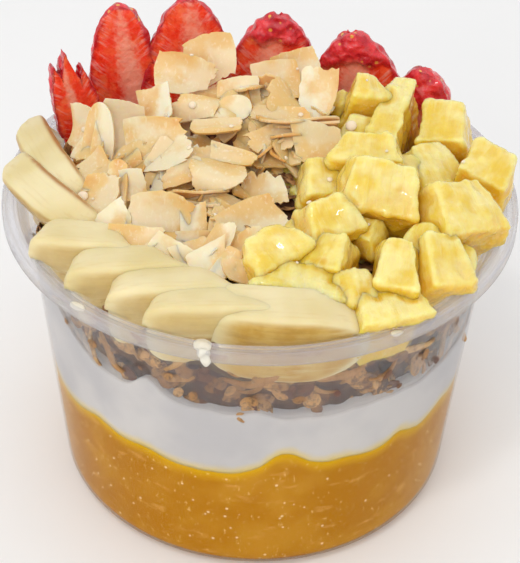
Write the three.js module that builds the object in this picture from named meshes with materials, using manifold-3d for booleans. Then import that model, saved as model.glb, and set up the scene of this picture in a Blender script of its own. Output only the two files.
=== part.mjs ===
// A clear deli cup of fruit: orange fruit puree, yogurt and granola in layers, with banana
// slices, toasted coconut chips, strawberry halves and pineapple chunks heaped on top.
// Millimetres, +Z up. The origin is the middle of the cup's base, on the table; the banana
// slices are at the front, towards -Y, and the strawberries stand at the back.

import * as THREE from 'three';
import { mergeVertices } from 'three/addons/utils/BufferGeometryUtils.js';
import Module from 'manifold-3d';

const wasm = await Module();
wasm.setup();

// ---------------------------------------------------------------- driving dimensions

const GAP = 0.3; // clearance between pieces that touch
const MERGE = 0.06; // how far a face may shift when needless edges are merged
const SIDES = 48; // steps round the cup and its layers

const CUP_HEIGHT = 75;
const RIM_RADIUS = 58.5; // outside of the flange
const RIM_INNER = 54.9; // inside edge of the flange
const SKIRT_DROP = 2.8; // how far the turned-down edge hangs
const FLARE_DROP = 2.4; // height of the flare between wall and flange
const WALL = 0.8;
const WALL_FOOT = 46.94; // outside radius of the wall, carried down to the base plane
const WALL_SLOPE = 0.0844; // outward taper for each millimetre of height
const BASE_CORNER = 4.4; // outside radius where wall and base meet

const PUREE_LEVEL = 32.5;
const YOGURT_LEVEL = 50;
const GRANOLA_EDGE = 66.5; // granola level at the wall
const GRANOLA_CROWN = 11.5; // how much higher its middle is
const GRANOLA_INSET = 1.7; // the loose granola's core keeps this far from the wall

const OAT = { length: 8, width: 5.6, thick: 1.3 };
const CHIP_THICK = 1.1;

// ---------------------------------------------------------------- small helpers

const degrees = THREE.MathUtils.degToRad;
const vector = (x, y, z) => new THREE.Vector3(x, y, z);

// A repeatable random number generator between 0 and 1.
function seeded(seed) {
  let state = seed;
  return () => {
    state = (state * 16807) % 2147483647;
    return state / 2147483647;
  };
}

const smoothstep = (low, high, value) => THREE.MathUtils.smoothstep(value, low, high);
const power = (value, exponent) => Math.sign(value) * Math.abs(value) ** exponent;

// A closed geometry as a solid, with its faces turned outwards.
function solidOf(geometry) {
  const bare = geometry.clone();
  bare.deleteAttribute('normal');
  bare.deleteAttribute('uv');
  const merged = mergeVertices(bare, 1e-4);
  const vertProperties = new Float32Array(merged.attributes.position.array);
  const triVerts = new Uint32Array(merged.index.array);
  const made = new wasm.Manifold(new wasm.Mesh({ numProp: 3, vertProperties, triVerts }));
  if (made.volume() > 0) {
    return made;
  }
  for (let i = 0; i < triVerts.length; i += 3) {
    [triVerts[i + 1], triVerts[i + 2]] = [triVerts[i + 2], triVerts[i + 1]];
  }
  return new wasm.Manifold(new wasm.Mesh({ numProp: 3, vertProperties, triVerts }));
}

function geometryOf(solid) {
  const mesh = solid.getMesh();
  const geometry = new THREE.BufferGeometry();
  geometry.setAttribute('position', new THREE.Float32BufferAttribute(mesh.vertProperties, 3));
  geometry.setIndex(Array.from(mesh.triVerts));
  const faceted = geometry.toNonIndexed();
  faceted.computeVertexNormals();
  return faceted;
}

const largest = (solid) => solid.decompose().reduce((best, body) => (
  body.volume() > best.volume() ? body : best
));

// The main body of a solid: loose scraps are dropped, sealed hollows are filled, and edges
// too short to matter are merged.
const mainBody = (solid) => largest(largest(solid).simplify(MERGE));

// Moves every vertex of a geometry by a function of its position.
function reshape(geometry, move) {
  const position = geometry.attributes.position;
  const point = vector(0, 0, 0);
  for (let i = 0; i < position.count; i++) {
    point.fromBufferAttribute(position, i);
    move(point);
    position.setXYZ(i, point.x, point.y, point.z);
  }
  return geometry;
}

// Turns a geometry about X, then Y, then Z (degrees), and moves it to its place.
function place(geometry, at, [aboutX, aboutY, aboutZ]) {
  const turn = new THREE.Euler(degrees(aboutX), degrees(aboutY), degrees(aboutZ), 'ZYX');
  geometry.applyMatrix4(new THREE.Matrix4().makeRotationFromEuler(turn));
  return geometry.translate(...at);
}

// A solid of revolution about Z from [radius, height] pairs.
function turned(profile, sides = SIDES) {
  const points = profile.map(([radius, height]) => new THREE.Vector2(radius, height));
  return new THREE.LatheGeometry(points, sides).rotateX(Math.PI / 2);
}

// Quarter of a circle from the bottom to the outer side, as [radius, height] pairs.
function cornerArc(middle, height, radius, steps = 3) {
  return Array.from({ length: steps + 1 }, (_, i) => {
    const angle = (i / steps - 1) * (Math.PI / 2);
    return [middle + radius * Math.cos(angle), height + radius * Math.sin(angle)];
  });
}

// ---------------------------------------------------------------- cup

const wallRadius = (height) => WALL_FOOT + WALL_SLOPE * height;
const innerRadius = (height) => wallRadius(height) - WALL;
const CORNER_MIDDLE = wallRadius(BASE_CORNER) - BASE_CORNER;
const FLARE_FOOT = CUP_HEIGHT - FLARE_DROP;

function cupSolid() {
  const skirtFoot = CUP_HEIGHT - SKIRT_DROP;
  return solidOf(turned([
    [0, 0],
    ...cornerArc(CORNER_MIDDLE, BASE_CORNER, BASE_CORNER),
    [wallRadius(FLARE_FOOT), FLARE_FOOT],
    [RIM_INNER - WALL / 2, CUP_HEIGHT - WALL],
    [RIM_RADIUS - WALL, CUP_HEIGHT - WALL],
    [RIM_RADIUS - WALL, skirtFoot],
    [RIM_RADIUS, skirtFoot],
    [RIM_RADIUS, CUP_HEIGHT - WALL / 2],
    [RIM_RADIUS - WALL / 2, CUP_HEIGHT],
    [RIM_INNER, CUP_HEIGHT],
    [innerRadius(FLARE_FOOT), FLARE_FOOT],
    ...cornerArc(CORNER_MIDDLE, BASE_CORNER, BASE_CORNER - WALL).reverse(),
    [0, WALL],
  ]));
}

// The room inside the cup, kept a distance from its floor, wall and flare.
function cavity(inset) {
  return solidOf(turned([
    [0, WALL + inset],
    ...cornerArc(CORNER_MIDDLE, BASE_CORNER, BASE_CORNER - WALL - inset),
    [innerRadius(FLARE_FOOT) - inset, FLARE_FOOT],
    [RIM_INNER - inset, CUP_HEIGHT],
    [0, CUP_HEIGHT],
  ]));
}

// Upper wall and flange with the clearance added, and all that lies outside below them:
// what toppings are cut back from.
function rimCutter() {
  const low = 45;
  return solidOf(turned([
    [innerRadius(low) - GAP, low],
    [innerRadius(FLARE_FOOT) - GAP, FLARE_FOOT],
    [RIM_INNER - GAP, CUP_HEIGHT],
    [RIM_INNER, CUP_HEIGHT + GAP],
    [90, CUP_HEIGHT + GAP],
    [90, low],
    [innerRadius(low) - GAP, low],
  ]));
}

// ---------------------------------------------------------------- layers

// A bump in a layer's edge: height added round the wall near an angle (degrees from +X).
function bumps(angle, list) {
  return list.reduce((sum, [middle, width, height]) => {
    const off = THREE.MathUtils.euclideanModulo(angle - middle + 180, 360) - 180;
    return sum + height * Math.exp(-((off / width) ** 2));
  }, 0);
}

// Waves of the puree's edge, seen through the wall: [angle, width, height].
const PUREE_WAVES = [
  [-135, 8, 2.9], [-120, 6, 1.9], [-82, 7, 6.6], [-66, 9, 2.2], [-49, 5, 3.2], [-31, 8, 2.2],
  [12, 12, 3], [48, 10, -1.5], [80, 12, 2.6], [118, 14, 1.2], [150, 9, 3],
];
// Waves of the yogurt's edge; at the left it climbs nearly to the rim.
const YOGURT_WAVES = [
  [-163, 22, 19], [-117, 4, 5.5], [-126, 9, 1], [-90, 4, 2], [-107, 12, 2.2], [-45, 10, -0.8],
  [20, 16, 2.4], [66, 12, -1.6], [104, 10, 2.8],
];
// Where the front banana slice presses the granola down.
const SEAT = { angle: -82, width: 17, depth: 9, from: 38 };

const nearWall = (radius) => smoothstep(26, 50, radius);
const pureeTop = (angle, radius) => PUREE_LEVEL + 1.5 + nearWall(radius)
  * (bumps(angle, PUREE_WAVES) - 1.5);
const yogurtTop = (angle, radius) => YOGURT_LEVEL + 2 + smoothstep(40, 50.5, radius)
  * (bumps(angle, YOGURT_WAVES) - 2);
const granolaTop = (angle, radius) => GRANOLA_EDGE + GRANOLA_CROWN * (1 - (radius / 51) ** 2)
  - smoothstep(SEAT.from, 49, radius) * bumps(angle, [[SEAT.angle, SEAT.width, SEAT.depth]]);

// A layer between two height functions, wider than the cup; the cavity trims its edge.
function slab(bottomAt, topAt, sides = SIDES) {
  const radii = [0, 18, 34, 44, 51, 62];
  const profile = [
    ...radii.map((radius) => [radius, 0]),
    ...radii.map((radius) => [radius, 1]).reverse(),
  ];
  return solidOf(reshape(turned(profile, sides), (point) => {
    const angle = THREE.MathUtils.radToDeg(Math.atan2(point.y, point.x));
    const radius = Math.hypot(point.x, point.y);
    point.z = (point.z > 0.5 ? topAt : bottomAt)(angle, radius);
  }));
}

const under = () => -5;
const pureeSolid = () => slab(under, pureeTop).intersect(cavity(GAP));

function yogurtSolid(grow = 0) {
  const top = (angle, radius) => yogurtTop(angle, radius) + grow;
  const pureeCutter = slab(under, (angle, radius) => pureeTop(angle, radius) + GAP - grow);
  return slab(under, top).intersect(cavity(GAP - grow)).subtract(pureeCutter);
}

function granolaCore(grow = 0) {
  const top = (angle, radius) => granolaTop(angle, radius) + grow;
  const low = () => YOGURT_LEVEL - 8;
  return slab(low, top, 30).intersect(cavity(GRANOLA_INSET - grow));
}

// ---------------------------------------------------------------- banana

// Bias-cut slices, standing on edge: [x, y, z of the middle, heading, lean, roll, length,
// height, thickness, bow]. The first five are fanned along the front of the rim, each a
// step further back and to the left, and the last two follow its left side.
const BANANAS = [
  [7, -48.2, 70.6, 3, -10, 3, 34, 20, 8, 2.2],
  [-11, -46.4, 72.6, 3, -14, 0, 27, 19, 8, 0.6],
  [-19.5, -40.8, 72.6, 6, -14, 0, 27, 19, 8, 0.6],
  [-29.5, -34.2, 72.6, 8, -14, 0, 25, 19, 8, 0.6],
  [-39, -25.8, 72.4, -6, -14, 0, 22, 17, 8.4, 0.6],
  [-46.8, -7, 73.5, -51, -25, 0, 33, 15, 9.5, 1.2],
  [-48.8, 6, 74.3, -66, -12, -3, 36, 15, 8.8, 1.5],
];
const BANANA_SQUARE = 0.65; // 1 is an oval slice, 0 a rectangular one

function bananaGeometry([x, y, z, heading, lean, roll, length, height, thick, bow], grow) {
  const half = thick / 2 + grow;
  const edge = 1.6;
  const puck = new THREE.LatheGeometry([
    new THREE.Vector2(0, -half),
    new THREE.Vector2(1 - edge / 10, -half),
    new THREE.Vector2(1, edge - half),
    new THREE.Vector2(1, half - edge),
    new THREE.Vector2(1 - edge / 10, half),
    new THREE.Vector2(0, half),
  ], 14);
  reshape(puck, (point) => {
    const reach = Math.hypot(point.x, point.z);
    const angle = Math.atan2(point.z, point.x);
    const across = power(Math.cos(angle), BANANA_SQUARE);
    const up = power(Math.sin(angle), BANANA_SQUARE);
    point.x = reach * across * (length / 2 + grow);
    point.z = reach * up * (height / 2 + grow);
    point.y += bow * (reach * across) ** 2;
  });
  return place(puck, [x, y, z], [-lean, roll, heading]);
}

// ---------------------------------------------------------------- strawberries

// Halves and slices with their tips up, cut face to the front: [x, y, z of the foot,
// heading, lean, roll, width, height, depth, bluntness].
const STRAWBERRIES = [
  [-42, 25.5, 67, 24, 4, -10, 12.5, 28.5, 7, 1],
  [-34, 36, 66.5, 8, 8, 0, 18, 33, 8, 1],
  [-17, 39, 69, 10, 8, -2, 27, 31.5, 11, 0.1],
  [1.8, 41, 69, 4, 8, 3, 27, 27, 11, 0.1],
  [24, 38, 68, -8, 8, -8, 26, 25.5, 11, 0.1],
  [38.5, 31, 66.5, -18, 8, -4, 17.5, 21.5, 10, 1],
];
// The first one's tip is nicked into three points: offset along the face, and depth.
const NICKS = [[-1.6, 8], [2.6, 11]];
const NICK_WIDTH = 2.2;
const CUT_FACE = 1.5; // how far the cut face lies in front of a berry's middle

// How wide the berry is at a share of its height, from the stalk end to the tip: a cone
// with a bulging side, or for a blunt berry a barrel with a round tip.
function berryWidth(share, blunt) {
  const cone = (1 - share ** 1.7) ** 0.6;
  const barrel = Math.sqrt(1 - share ** 2.6) * (0.86 + 0.3 * share - 0.2 * share * share);
  return cone + blunt * (barrel - cone);
}

function strawberrySolid(berry, grow, nicks) {
  const [x, y, z, heading, lean, roll, width, height, depth, blunt] = berry;
  const rows = [0, 0.3, 0.6, 0.8, 0.93, 1];
  const profile = [[0, -grow], ...rows.map((share) => [
    share < 1 ? berryWidth(share, blunt) : 0,
    share * height + (share === 1 ? grow : 0),
  ])];
  const whole = reshape(turned(profile, 12), (point) => {
    point.x *= width / 2 + grow;
    point.y *= depth + grow;
  });
  const half = new THREE.BoxGeometry(60, 60, 90).translate(0, 30 - CUT_FACE - grow, 20);
  const nicked = nicks.reduce((rest, [across, deep]) => {
    const wedge = new THREE.CylinderGeometry(NICK_WIDTH, 0.2, deep * 2, 4, 1);
    wedge.rotateX(Math.PI / 2).scale(1, 20, 1).translate(across, 0, height);
    return rest.subtract(solidOf(wedge));
  }, solidOf(whole).intersect(solidOf(half)));
  return solidOf(place(geometryOf(nicked), [x, y, z], [-lean, roll, heading]));
}

// ---------------------------------------------------------------- pineapple

// Wedge-cut chunks standing on the granola: [x, y and height of the top, width, depth,
// heading, tip towards the front, roll, taper]. The ones that show most come first and
// stay whole; later ones are cut back from them.
const PINEAPPLES = [
  [26, -13, 90.5, 17.5, 13, -4, 34, 6, 0.1],
  [42, -16, 86, 16, 15, 28, 22, 12, 0.15],
  [50.2, 0, 85.5, 11.5, 12, -24, 10, 12, 0.1],
  [43, 15.5, 87, 11.5, 14, -12, 18, -6, 0.1],
  [30.5, 16.5, 89, 7, 22, -18, 10, 0, 0.1],
  [3, -30, 85.5, 13, 10, 38, 16, -8, 0.3],
  [27.8, -42.2, 80, 15, 9, 22, 14, 4, 0.2],
  [29, -34, 85, 8.5, 14, -8, 26, 4, 0.2],
  [37, -30, 82.5, 10, 13, 20, 28, 14, 0.2],
  [14, -22, 87, 12, 10, 24, 30, 0, 0.2],
  [24, -1, 90, 15, 9, -8, 20, -6, 0.2],
  [10.5, -37.5, 82.5, 18, 9, -6, 14, 4, 0.3],
  [20.5, -38, 82.5, 8, 9, 12, 20, 0, 0.2],
  [37.5, 1, 84, 11, 13, 30, 22, 10, 0.2],
  [36.5, -24, 83, 11, 8, -10, 30, 8, 0.2],
  [17.5, -31, 86, 8, 10, -28, 26, -10, 0.3],
  [22.8, 21, 92, 8.5, 8, 10, 12, 8, 0.3],
  [25, 11, 86, 13, 9, -14, 22, 0, 0.2],
  [15, -6, 85, 13, 11, 16, 20, 8, 0.2],
  [42.5, -26, 79, 8, 8, -30, 14, 10, 0.2],
  [22, -20, 83.5, 11, 9, -34, 20, 0, 0.2],
  [7, 1, 80, 10, 8, 12, 20, -8, 0.3],
];

function pineappleGeometry([x, y, top, width, depth, heading, tip, roll, taper], grow) {
  const random = seeded(Math.round(1000 + 37 * x + 91 * y + 13 * top));
  const wobble = (amount) => (random() - 0.5) * amount;
  const angle = THREE.MathUtils.radToDeg(Math.atan2(y, x));
  const height = top - granolaTop(angle, Math.hypot(x, y)) + 1.5;
  const chunk = new THREE.BoxGeometry(2, 2, 2, 1, 1, 2);
  chunk.deleteAttribute('normal');
  chunk.deleteAttribute('uv');
  const welded = mergeVertices(chunk, 1e-3);
  reshape(welded, (point) => {
    const pull = Math.abs(point.z) < 0.5 ? 1 : 0.88;
    const narrow = 1 - taper * point.y;
    point.x = point.x * pull * narrow * (width / 2 + grow) + wobble(1.4);
    point.y = point.y * pull * (depth / 2 + grow) + wobble(1.4);
    point.z = point.z * (height / 2 + grow) + wobble(1.2);
  });
  return place(welded, [x, y, top - height / 2], [tip, roll, heading]);
}

// ---------------------------------------------------------------- coconut

// The coconut heap's core: [middle, half sizes] of its lumps.
const LUMPS = [
  [[-24, 4, 71], [22, 22, 13.5]],
  [[-1, 19, 72], [24, 18, 18.5]],
  [[-12, -12, 71], [20, 18, 10.5]],
  [[3, 4, 72], [12, 8, 13.5]],
];

// Chips that stand out: [x, y, z of the middle, normal's compass, normal's height above
// level, spin in its plane, width, length, curl].
const CHIPS = [
  [-14, 27, 92.5, 8, 34, 8, 12, 12.5, 1],
  [-18, 22, 91.5, 0, 42, -4, 11.5, 8.5, 1],
  [-15, 12.5, 88.5, 0, 60, 0, 12, 7, -1],
  [-25, 13, 88.5, -28, 40, 35, 8, 8, 1],
  [-24.5, 0, 86.5, -20, 44, 24, 16, 14.5, 2],
  [-37, 4, 84.5, -24, 34, 8, 7.5, 15, 1.5],
  [-41.5, 10, 83.5, -34, 26, 0, 7, 10, 1],
  [-32, 6, 85.5, 10, 24, -12, 11, 12, 1],
  [-10, 7, 87.5, 6, 72, 4, 12, 4, 0.5],
  [-6.5, 12, 89, 0, 50, 0, 7, 5, 1],
  [12.3, 18.5, 89.5, 4, 38, -12, 9, 14, 1],
  [7, 27.5, 91, 4, 40, 20, 11, 8.5, 1],
  [12, 3, 86, 10, 46, -6, 9.5, 9, 1],
  [5.5, 11, 88, 0, 62, -4, 13, 4.5, 0.5],
  [-10, -8.5, 84.5, 0, 60, 8, 11.5, 8, -1.5],
  [-5.5, -2.5, 85.5, 0, 72, -10, 10.5, 4, 1],
  [-13.5, -2, 85.5, 0, 64, 0, 7.5, 4, 0.5],
  [-16.5, -8, 84.5, 10, 52, 16, 11, 5.5, 2],
  [-28.5, -11.5, 83, -10, 46, 10, 7, 6, 1],
  [-22.5, -22, 81, 4, 44, -4, 13.5, 14, 2],
  [-14, -20.5, 80.5, 12, 44, 0, 5.5, 7, 1],
  [-1.5, -19, 79.5, 8, 62, 18, 14, 8, 1],
  [-9, -20, 79.5, 34, 50, -40, 4, 9, 0.5],
  [-13, -26, 78.5, 0, 52, 8, 9, 6, 1],
  [-31, -13, 81.5, -36, 40, 30, 5.5, 12, 1],
  [1, -9, 80.5, -12, 50, 12, 10, 9, 1],
  [-5, 17, 89.5, -6, 40, 12, 10, 9, 1],
  [3, 22, 91, 6, 48, -8, 11, 9, 1],
  [1.5, 4, 86, 4, 56, 10, 12, 7, 1],
];
const FILL_CHIPS = 2; // for each lump

// A thin plate, curled along its length, whose normal starts along +Z.
function chipGeometry(width, length, curl, thick) {
  const plate = new THREE.BoxGeometry(2, 2, thick, 1, 2, 1);
  return reshape(plate, (point) => {
    const narrow = 1 - 0.18 * point.y * point.y;
    point.z += curl * (point.y * point.y - 0.5);
    point.x *= (width / 2) * narrow;
    point.y *= length / 2;
  });
}

function chipSolid([x, y, z, compass, height, spin, width, length, curl], grow = 0) {
  const plate = chipGeometry(width + 2 * grow, length + 2 * grow, curl, CHIP_THICK + 2 * grow);
  plate.rotateZ(degrees(spin));
  return solidOf(place(plate, [x, y, z], [90 - height, 0, compass]));
}

// Chips that fill the heap between the chosen ones, laid on a lump at random.
function fillChips([middle, half], seed) {
  const random = seeded(seed);
  return Array.from({ length: FILL_CHIPS }, (_, i) => {
    const angle = i * 2.4;
    const share = Math.sqrt((i + 0.5) / FILL_CHIPS) * 0.94;
    const unit = [share * Math.cos(angle), share * Math.sin(angle), Math.sqrt(1 - share ** 2)];
    const at = middle.map((centre, axis) => centre + (half[axis] + 0.8) * unit[axis]);
    const compass = THREE.MathUtils.radToDeg(angle) + 90;
    const height = 50 + 35 * random();
    return [...at, compass, height, 360 * random(), 6 + 5 * random(), 7 + 5 * random(), 1];
  });
}

// ---------------------------------------------------------------- granola flakes

function oatSolid(at, turns, scale, grow = 0) {
  const flake = new THREE.CylinderGeometry(1, 1, 1, 6).rotateX(Math.PI / 2);
  flake.scale(
    (OAT.length / 2) * scale + grow,
    (OAT.width / 2) * scale + grow,
    OAT.thick + 2 * grow,
  );
  return solidOf(place(flake, at, turns));
}

// Flakes pressed against the wall, round the band where the granola shows through it.
function wallFlakes() {
  const random = seeded(91);
  const flakes = [];
  const rows = 2;
  const around = 15;
  for (let row = 0; row < rows; row++) {
    for (let i = 0; i < around; i++) {
      const angle = ((i + 0.5 * row + 0.5 * random()) / around) * 360;
      const height = 55 + row * 6.4 + 2.6 * random();
      const radius = innerRadius(height) - GAP - 1.5;
      const at = [radius * Math.cos(degrees(angle)), radius * Math.sin(degrees(angle)), height];
      const turns = [90 + 16 * (random() - 0.5), 60 * (random() - 0.5), angle + 90];
      flakes.push({ at, turns, scale: 0.75 + 0.3 * random() });
    }
  }
  return flakes;
}

// Flakes lying on top of the mound, where no topping covers it.
function topFlakes() {
  const random = seeded(207);
  const count = 76;
  return Array.from({ length: count }, (_, i) => {
    const angle = i * 137.5;
    const radius = 49 * Math.sqrt((i + 0.5) / count);
    const height = granolaTop(angle - 360 * Math.round(angle / 360), radius) + 0.3;
    const at = [radius * Math.cos(degrees(angle)), radius * Math.sin(degrees(angle)), height];
    const turns = [50 * (random() - 0.5), 50 * (random() - 0.5), 360 * random()];
    return { at, turns, scale: 0.8 + 0.3 * random() };
  });
}

// ---------------------------------------------------------------- assembly

const FINISH = {
  cup: { color: 0xdfe0e6, roughness: 0.18, metalness: 0, transparent: true, opacity: 0.4 },
  puree: { color: 0xc68a1e, roughness: 0.45, metalness: 0 },
  yogurt: { color: 0xd8d6d6, roughness: 0.4, metalness: 0 },
  granola: { color: 0xa98566, roughness: 0.75, metalness: 0 },
  banana: { color: 0xe9dcae, roughness: 0.5, metalness: 0 },
  strawberry: { color: 0xc9262a, roughness: 0.35, metalness: 0 },
  pineapple: { color: 0xecd35a, roughness: 0.3, metalness: 0 },
  coconut: { color: 0xe6cc9c, roughness: 0.65, metalness: 0 },
};

function finished(name, finish, solid) {
  const mesh = new THREE.Mesh(geometryOf(solid), new THREE.MeshStandardMaterial(FINISH[finish]));
  mesh.name = name;
  return mesh;
}

const bowl = new THREE.Group();
const cutters = [rimCutter(), yogurtSolid(GAP), granolaCore(GAP)];

// Cuts a topping back from all that was laid before it, and remembers its own clearance.
function lay(name, finish, solid, grown) {
  const fitted = mainBody(cutters.reduce((rest, cutter) => rest.subtract(cutter), solid));
  cutters.push(grown);
  bowl.add(finished(name, finish, fitted));
}

bowl.add(finished('cup', 'cup', cupSolid()));
bowl.add(finished('puree', 'puree', mainBody(pureeSolid())));
bowl.add(finished('yogurt', 'yogurt', mainBody(yogurtSolid())));

BANANAS.forEach((slice, i) => {
  const solid = solidOf(bananaGeometry(slice, 0));
  lay(`banana_${i + 1}`, 'banana', solid, solidOf(bananaGeometry(slice, GAP)));
});
PINEAPPLES.forEach((chunk, i) => {
  const solid = solidOf(pineappleGeometry(chunk, 0));
  lay(`pineapple_${i + 1}`, 'pineapple', solid, solidOf(pineappleGeometry(chunk, GAP)));
});
STRAWBERRIES.forEach((berry, i) => {
  const solid = strawberrySolid(berry, 0, i === 0 ? NICKS : []);
  lay(`strawberry_${i + 1}`, 'strawberry', solid, strawberrySolid(berry, GAP, []));
});

const touches = (one, other) => one.intersect(other).volume() > 1e-3;

// The chips stay whole, so one that would cross a fruit is left out.
function coconutSolid() {
  const core = wasm.Manifold.union(LUMPS.map(([middle, half]) => solidOf(
    new THREE.SphereGeometry(1, 12, 7).rotateX(Math.PI / 2).scale(...half).translate(...middle),
  )));
  const others = wasm.Manifold.union(cutters);
  const fill = LUMPS.flatMap((lump, i) => fillChips(lump, 4711 + i));
  const clear = [...CHIPS, ...fill].filter((chip) => !touches(chipSolid(chip), others));
  return mainBody(wasm.Manifold.union([
    core.subtract(others),
    ...clear.map((chip) => chipSolid(chip)),
  ]));
}

function granolaSolid() {
  const others = wasm.Manifold.union([...cutters.slice(3), rimCutter(), yogurtSolid(GAP)]);
  const flakes = [...wallFlakes(), ...topFlakes()].filter(({ at, turns, scale }) => (
    !touches(oatSolid(at, turns, scale, GAP), others)
  ));
  return mainBody(wasm.Manifold.union([
    granolaCore().subtract(yogurtSolid(GAP)),
    ...flakes.map(({ at, turns, scale }) => oatSolid(at, turns, scale)),
  ]));
}

const coconut = coconutSolid();
bowl.add(finished('coconut', 'coconut', coconut));
cutters.push(coconut);
bowl.add(finished('granola', 'granola', granolaSolid()));

export default bowl;
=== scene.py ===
"""The looks of a clear cup of layered fruit puree, yogurt and granola, topped with banana
slices, strawberry halves, pineapple chunks and toasted coconut chips."""

import math
import random

import bmesh
import bpy
from mathutils import Euler, Matrix, Vector, noise
from mathutils.bvhtree import BVHTree


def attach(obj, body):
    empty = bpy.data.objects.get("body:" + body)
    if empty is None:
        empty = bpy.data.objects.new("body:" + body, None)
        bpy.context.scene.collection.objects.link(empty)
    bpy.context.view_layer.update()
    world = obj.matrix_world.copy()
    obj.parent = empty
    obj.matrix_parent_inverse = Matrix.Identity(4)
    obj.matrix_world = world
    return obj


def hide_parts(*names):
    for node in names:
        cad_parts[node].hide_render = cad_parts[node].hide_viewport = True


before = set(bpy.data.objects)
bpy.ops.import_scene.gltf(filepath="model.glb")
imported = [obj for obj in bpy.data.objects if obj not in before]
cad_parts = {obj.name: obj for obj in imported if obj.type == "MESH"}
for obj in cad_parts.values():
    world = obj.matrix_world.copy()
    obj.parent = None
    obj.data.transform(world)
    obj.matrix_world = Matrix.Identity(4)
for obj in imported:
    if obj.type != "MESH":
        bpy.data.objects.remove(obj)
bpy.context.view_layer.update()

# ------------------------------------------------------------------ sizes, millimetres

MM = 0.001  # one millimetre in Blender's metres

CUP_HEIGHT = 75.0
RIM_RADIUS = 58.5  # outside of the rolled flange
RIM_INNER = 54.9
SKIRT_DROP = 2.8  # how far the flange's outer edge hangs down
FLARE_DROP = 2.4  # how far under the top the wall starts to flare out
WALL = 0.8
WALL_FOOT = 46.94  # outside radius of the wall, carried down to the base plane
WALL_SLOPE = 0.0844  # outwards for each millimetre up
BASE_CORNER = 4.4  # radius of the corner between base and wall
SINK = 0.3  # how far the filling reaches into the wall

PUREE_LEVEL = 32.5
YOGURT_LEVEL = 50.0
GRANOLA_EDGE = 66.5
GRANOLA_CROWN = 11.5  # how far its middle rises over its edge
OAT = (8.0, 5.6, 1.2)  # length, width and thickness of a rolled oat
CHIP_THICK = 0.6
CORE_GAP = 2.6  # how deep the plain cores lie under the oats and the chips

# Waves of the layers' edges: angle from +X in degrees, width, height.
PUREE_WAVES = [
    (-135, 8, 2.9), (-120, 6, 1.9), (-82, 7, 6.6), (-66, 9, 2.2), (-49, 5, 3.2), (-31, 8, 2.2),
    (12, 12, 3), (48, 10, -1.5), (80, 12, 2.6), (118, 14, 1.2), (150, 9, 3),
]
YOGURT_WAVES = [
    (-163, 22, 19), (-117, 4, 5.5), (-126, 9, 1), (-90, 4, 2), (-107, 12, 2.2), (-45, 10, -0.8),
    (20, 16, 2.4), (66, 12, -1.6), (104, 10, 2.8),
]
# Where the front slice presses the granola down: angle, width, depth, and from which radius.
SEAT = (-82, 17, 9, 38)

# Where each piece of fruit lies, as in the solids.
# Banana slices: middle, heading, lean, roll, length, height, thickness, bow.
BANANAS = [
    (7, -48.2, 70.6, 3, -10, 3, 34, 20, 8, 2.2),
    (-11, -46.4, 72.6, 3, -14, 0, 27, 19, 8, 0.6),
    (-19.5, -40.8, 72.6, 6, -14, 0, 27, 19, 8, 0.6),
    (-29.5, -34.2, 72.6, 8, -14, 0, 25, 19, 8, 0.6),
    (-39, -25.8, 72.4, -6, -14, 0, 22, 17, 8.4, 0.6),
    (-46.8, -7, 73.5, -51, -25, 0, 33, 15, 9.5, 1.2),
    (-48.8, 6, 74.3, -66, -12, -3, 36, 15, 8.8, 1.5),
]
BANANA_SQUARE = 0.65  # 1 is an oval slice, 0 a rectangular one
FANNED = (1, 2, 3, 4)  # the slices pressed together along the front
CREASED = (5, 6)  # the slices with a brown crease along the inner top edge
LEFT_END = 3.5  # how far a fanned slice's left end slopes in from its front face to its back
RIGHT_END = (7.0, -4.0)  # how far its right end reaches past its outline in front and behind
TUCKED = 3.5  # how far a slice's back reaches in under the next one
FAN_TOP = 81.8  # the level to which the fan's tops merge

# Strawberry halves, tip up: foot, heading, lean, roll, width, height, depth, bluntness.
STRAWBERRIES = [
    (-42, 25.5, 67, 24, 4, -10, 12.5, 28.5, 7, 1),
    (-34, 36, 66.5, 8, 8, 0, 18, 33, 8, 1),
    (-17, 39, 69, 10, 8, -2, 27, 31.5, 11, 0.1),
    (1.8, 41, 69, 4, 8, 3, 27, 27, 11, 0.1),
    (24, 38, 68, -8, 8, -8, 26, 25.5, 11, 0.1),
    (38.5, 31, 66.5, -18, 8, -4, 17.5, 21.5, 10, 1),
]
CUT_FACE = 1.5  # how far the cut face lies in front of a berry's middle
UNCUT_FROM = (1.3, 1.3, 1.1, 0.74, 0.66, 0.5)  # share of its height where a tip is left whole
NICKS = ((-1.6, 8), (2.6, 11))  # the first berry's tip: offset along the face, and depth
NICK_WIDTH = 2.2
# The salmon band up each cut face: where it starts and ends across it, and its width.
BANDS = (
    (0.1, -0.3, 0.3), (0.5, -0.05, 0.5), (0.2, 0.1, 0.55), (-0.2, -0.1, 0.5), (-0.1, 0.1, 0.6),
    (-0.3, -0.2, 0.7),
)

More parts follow.
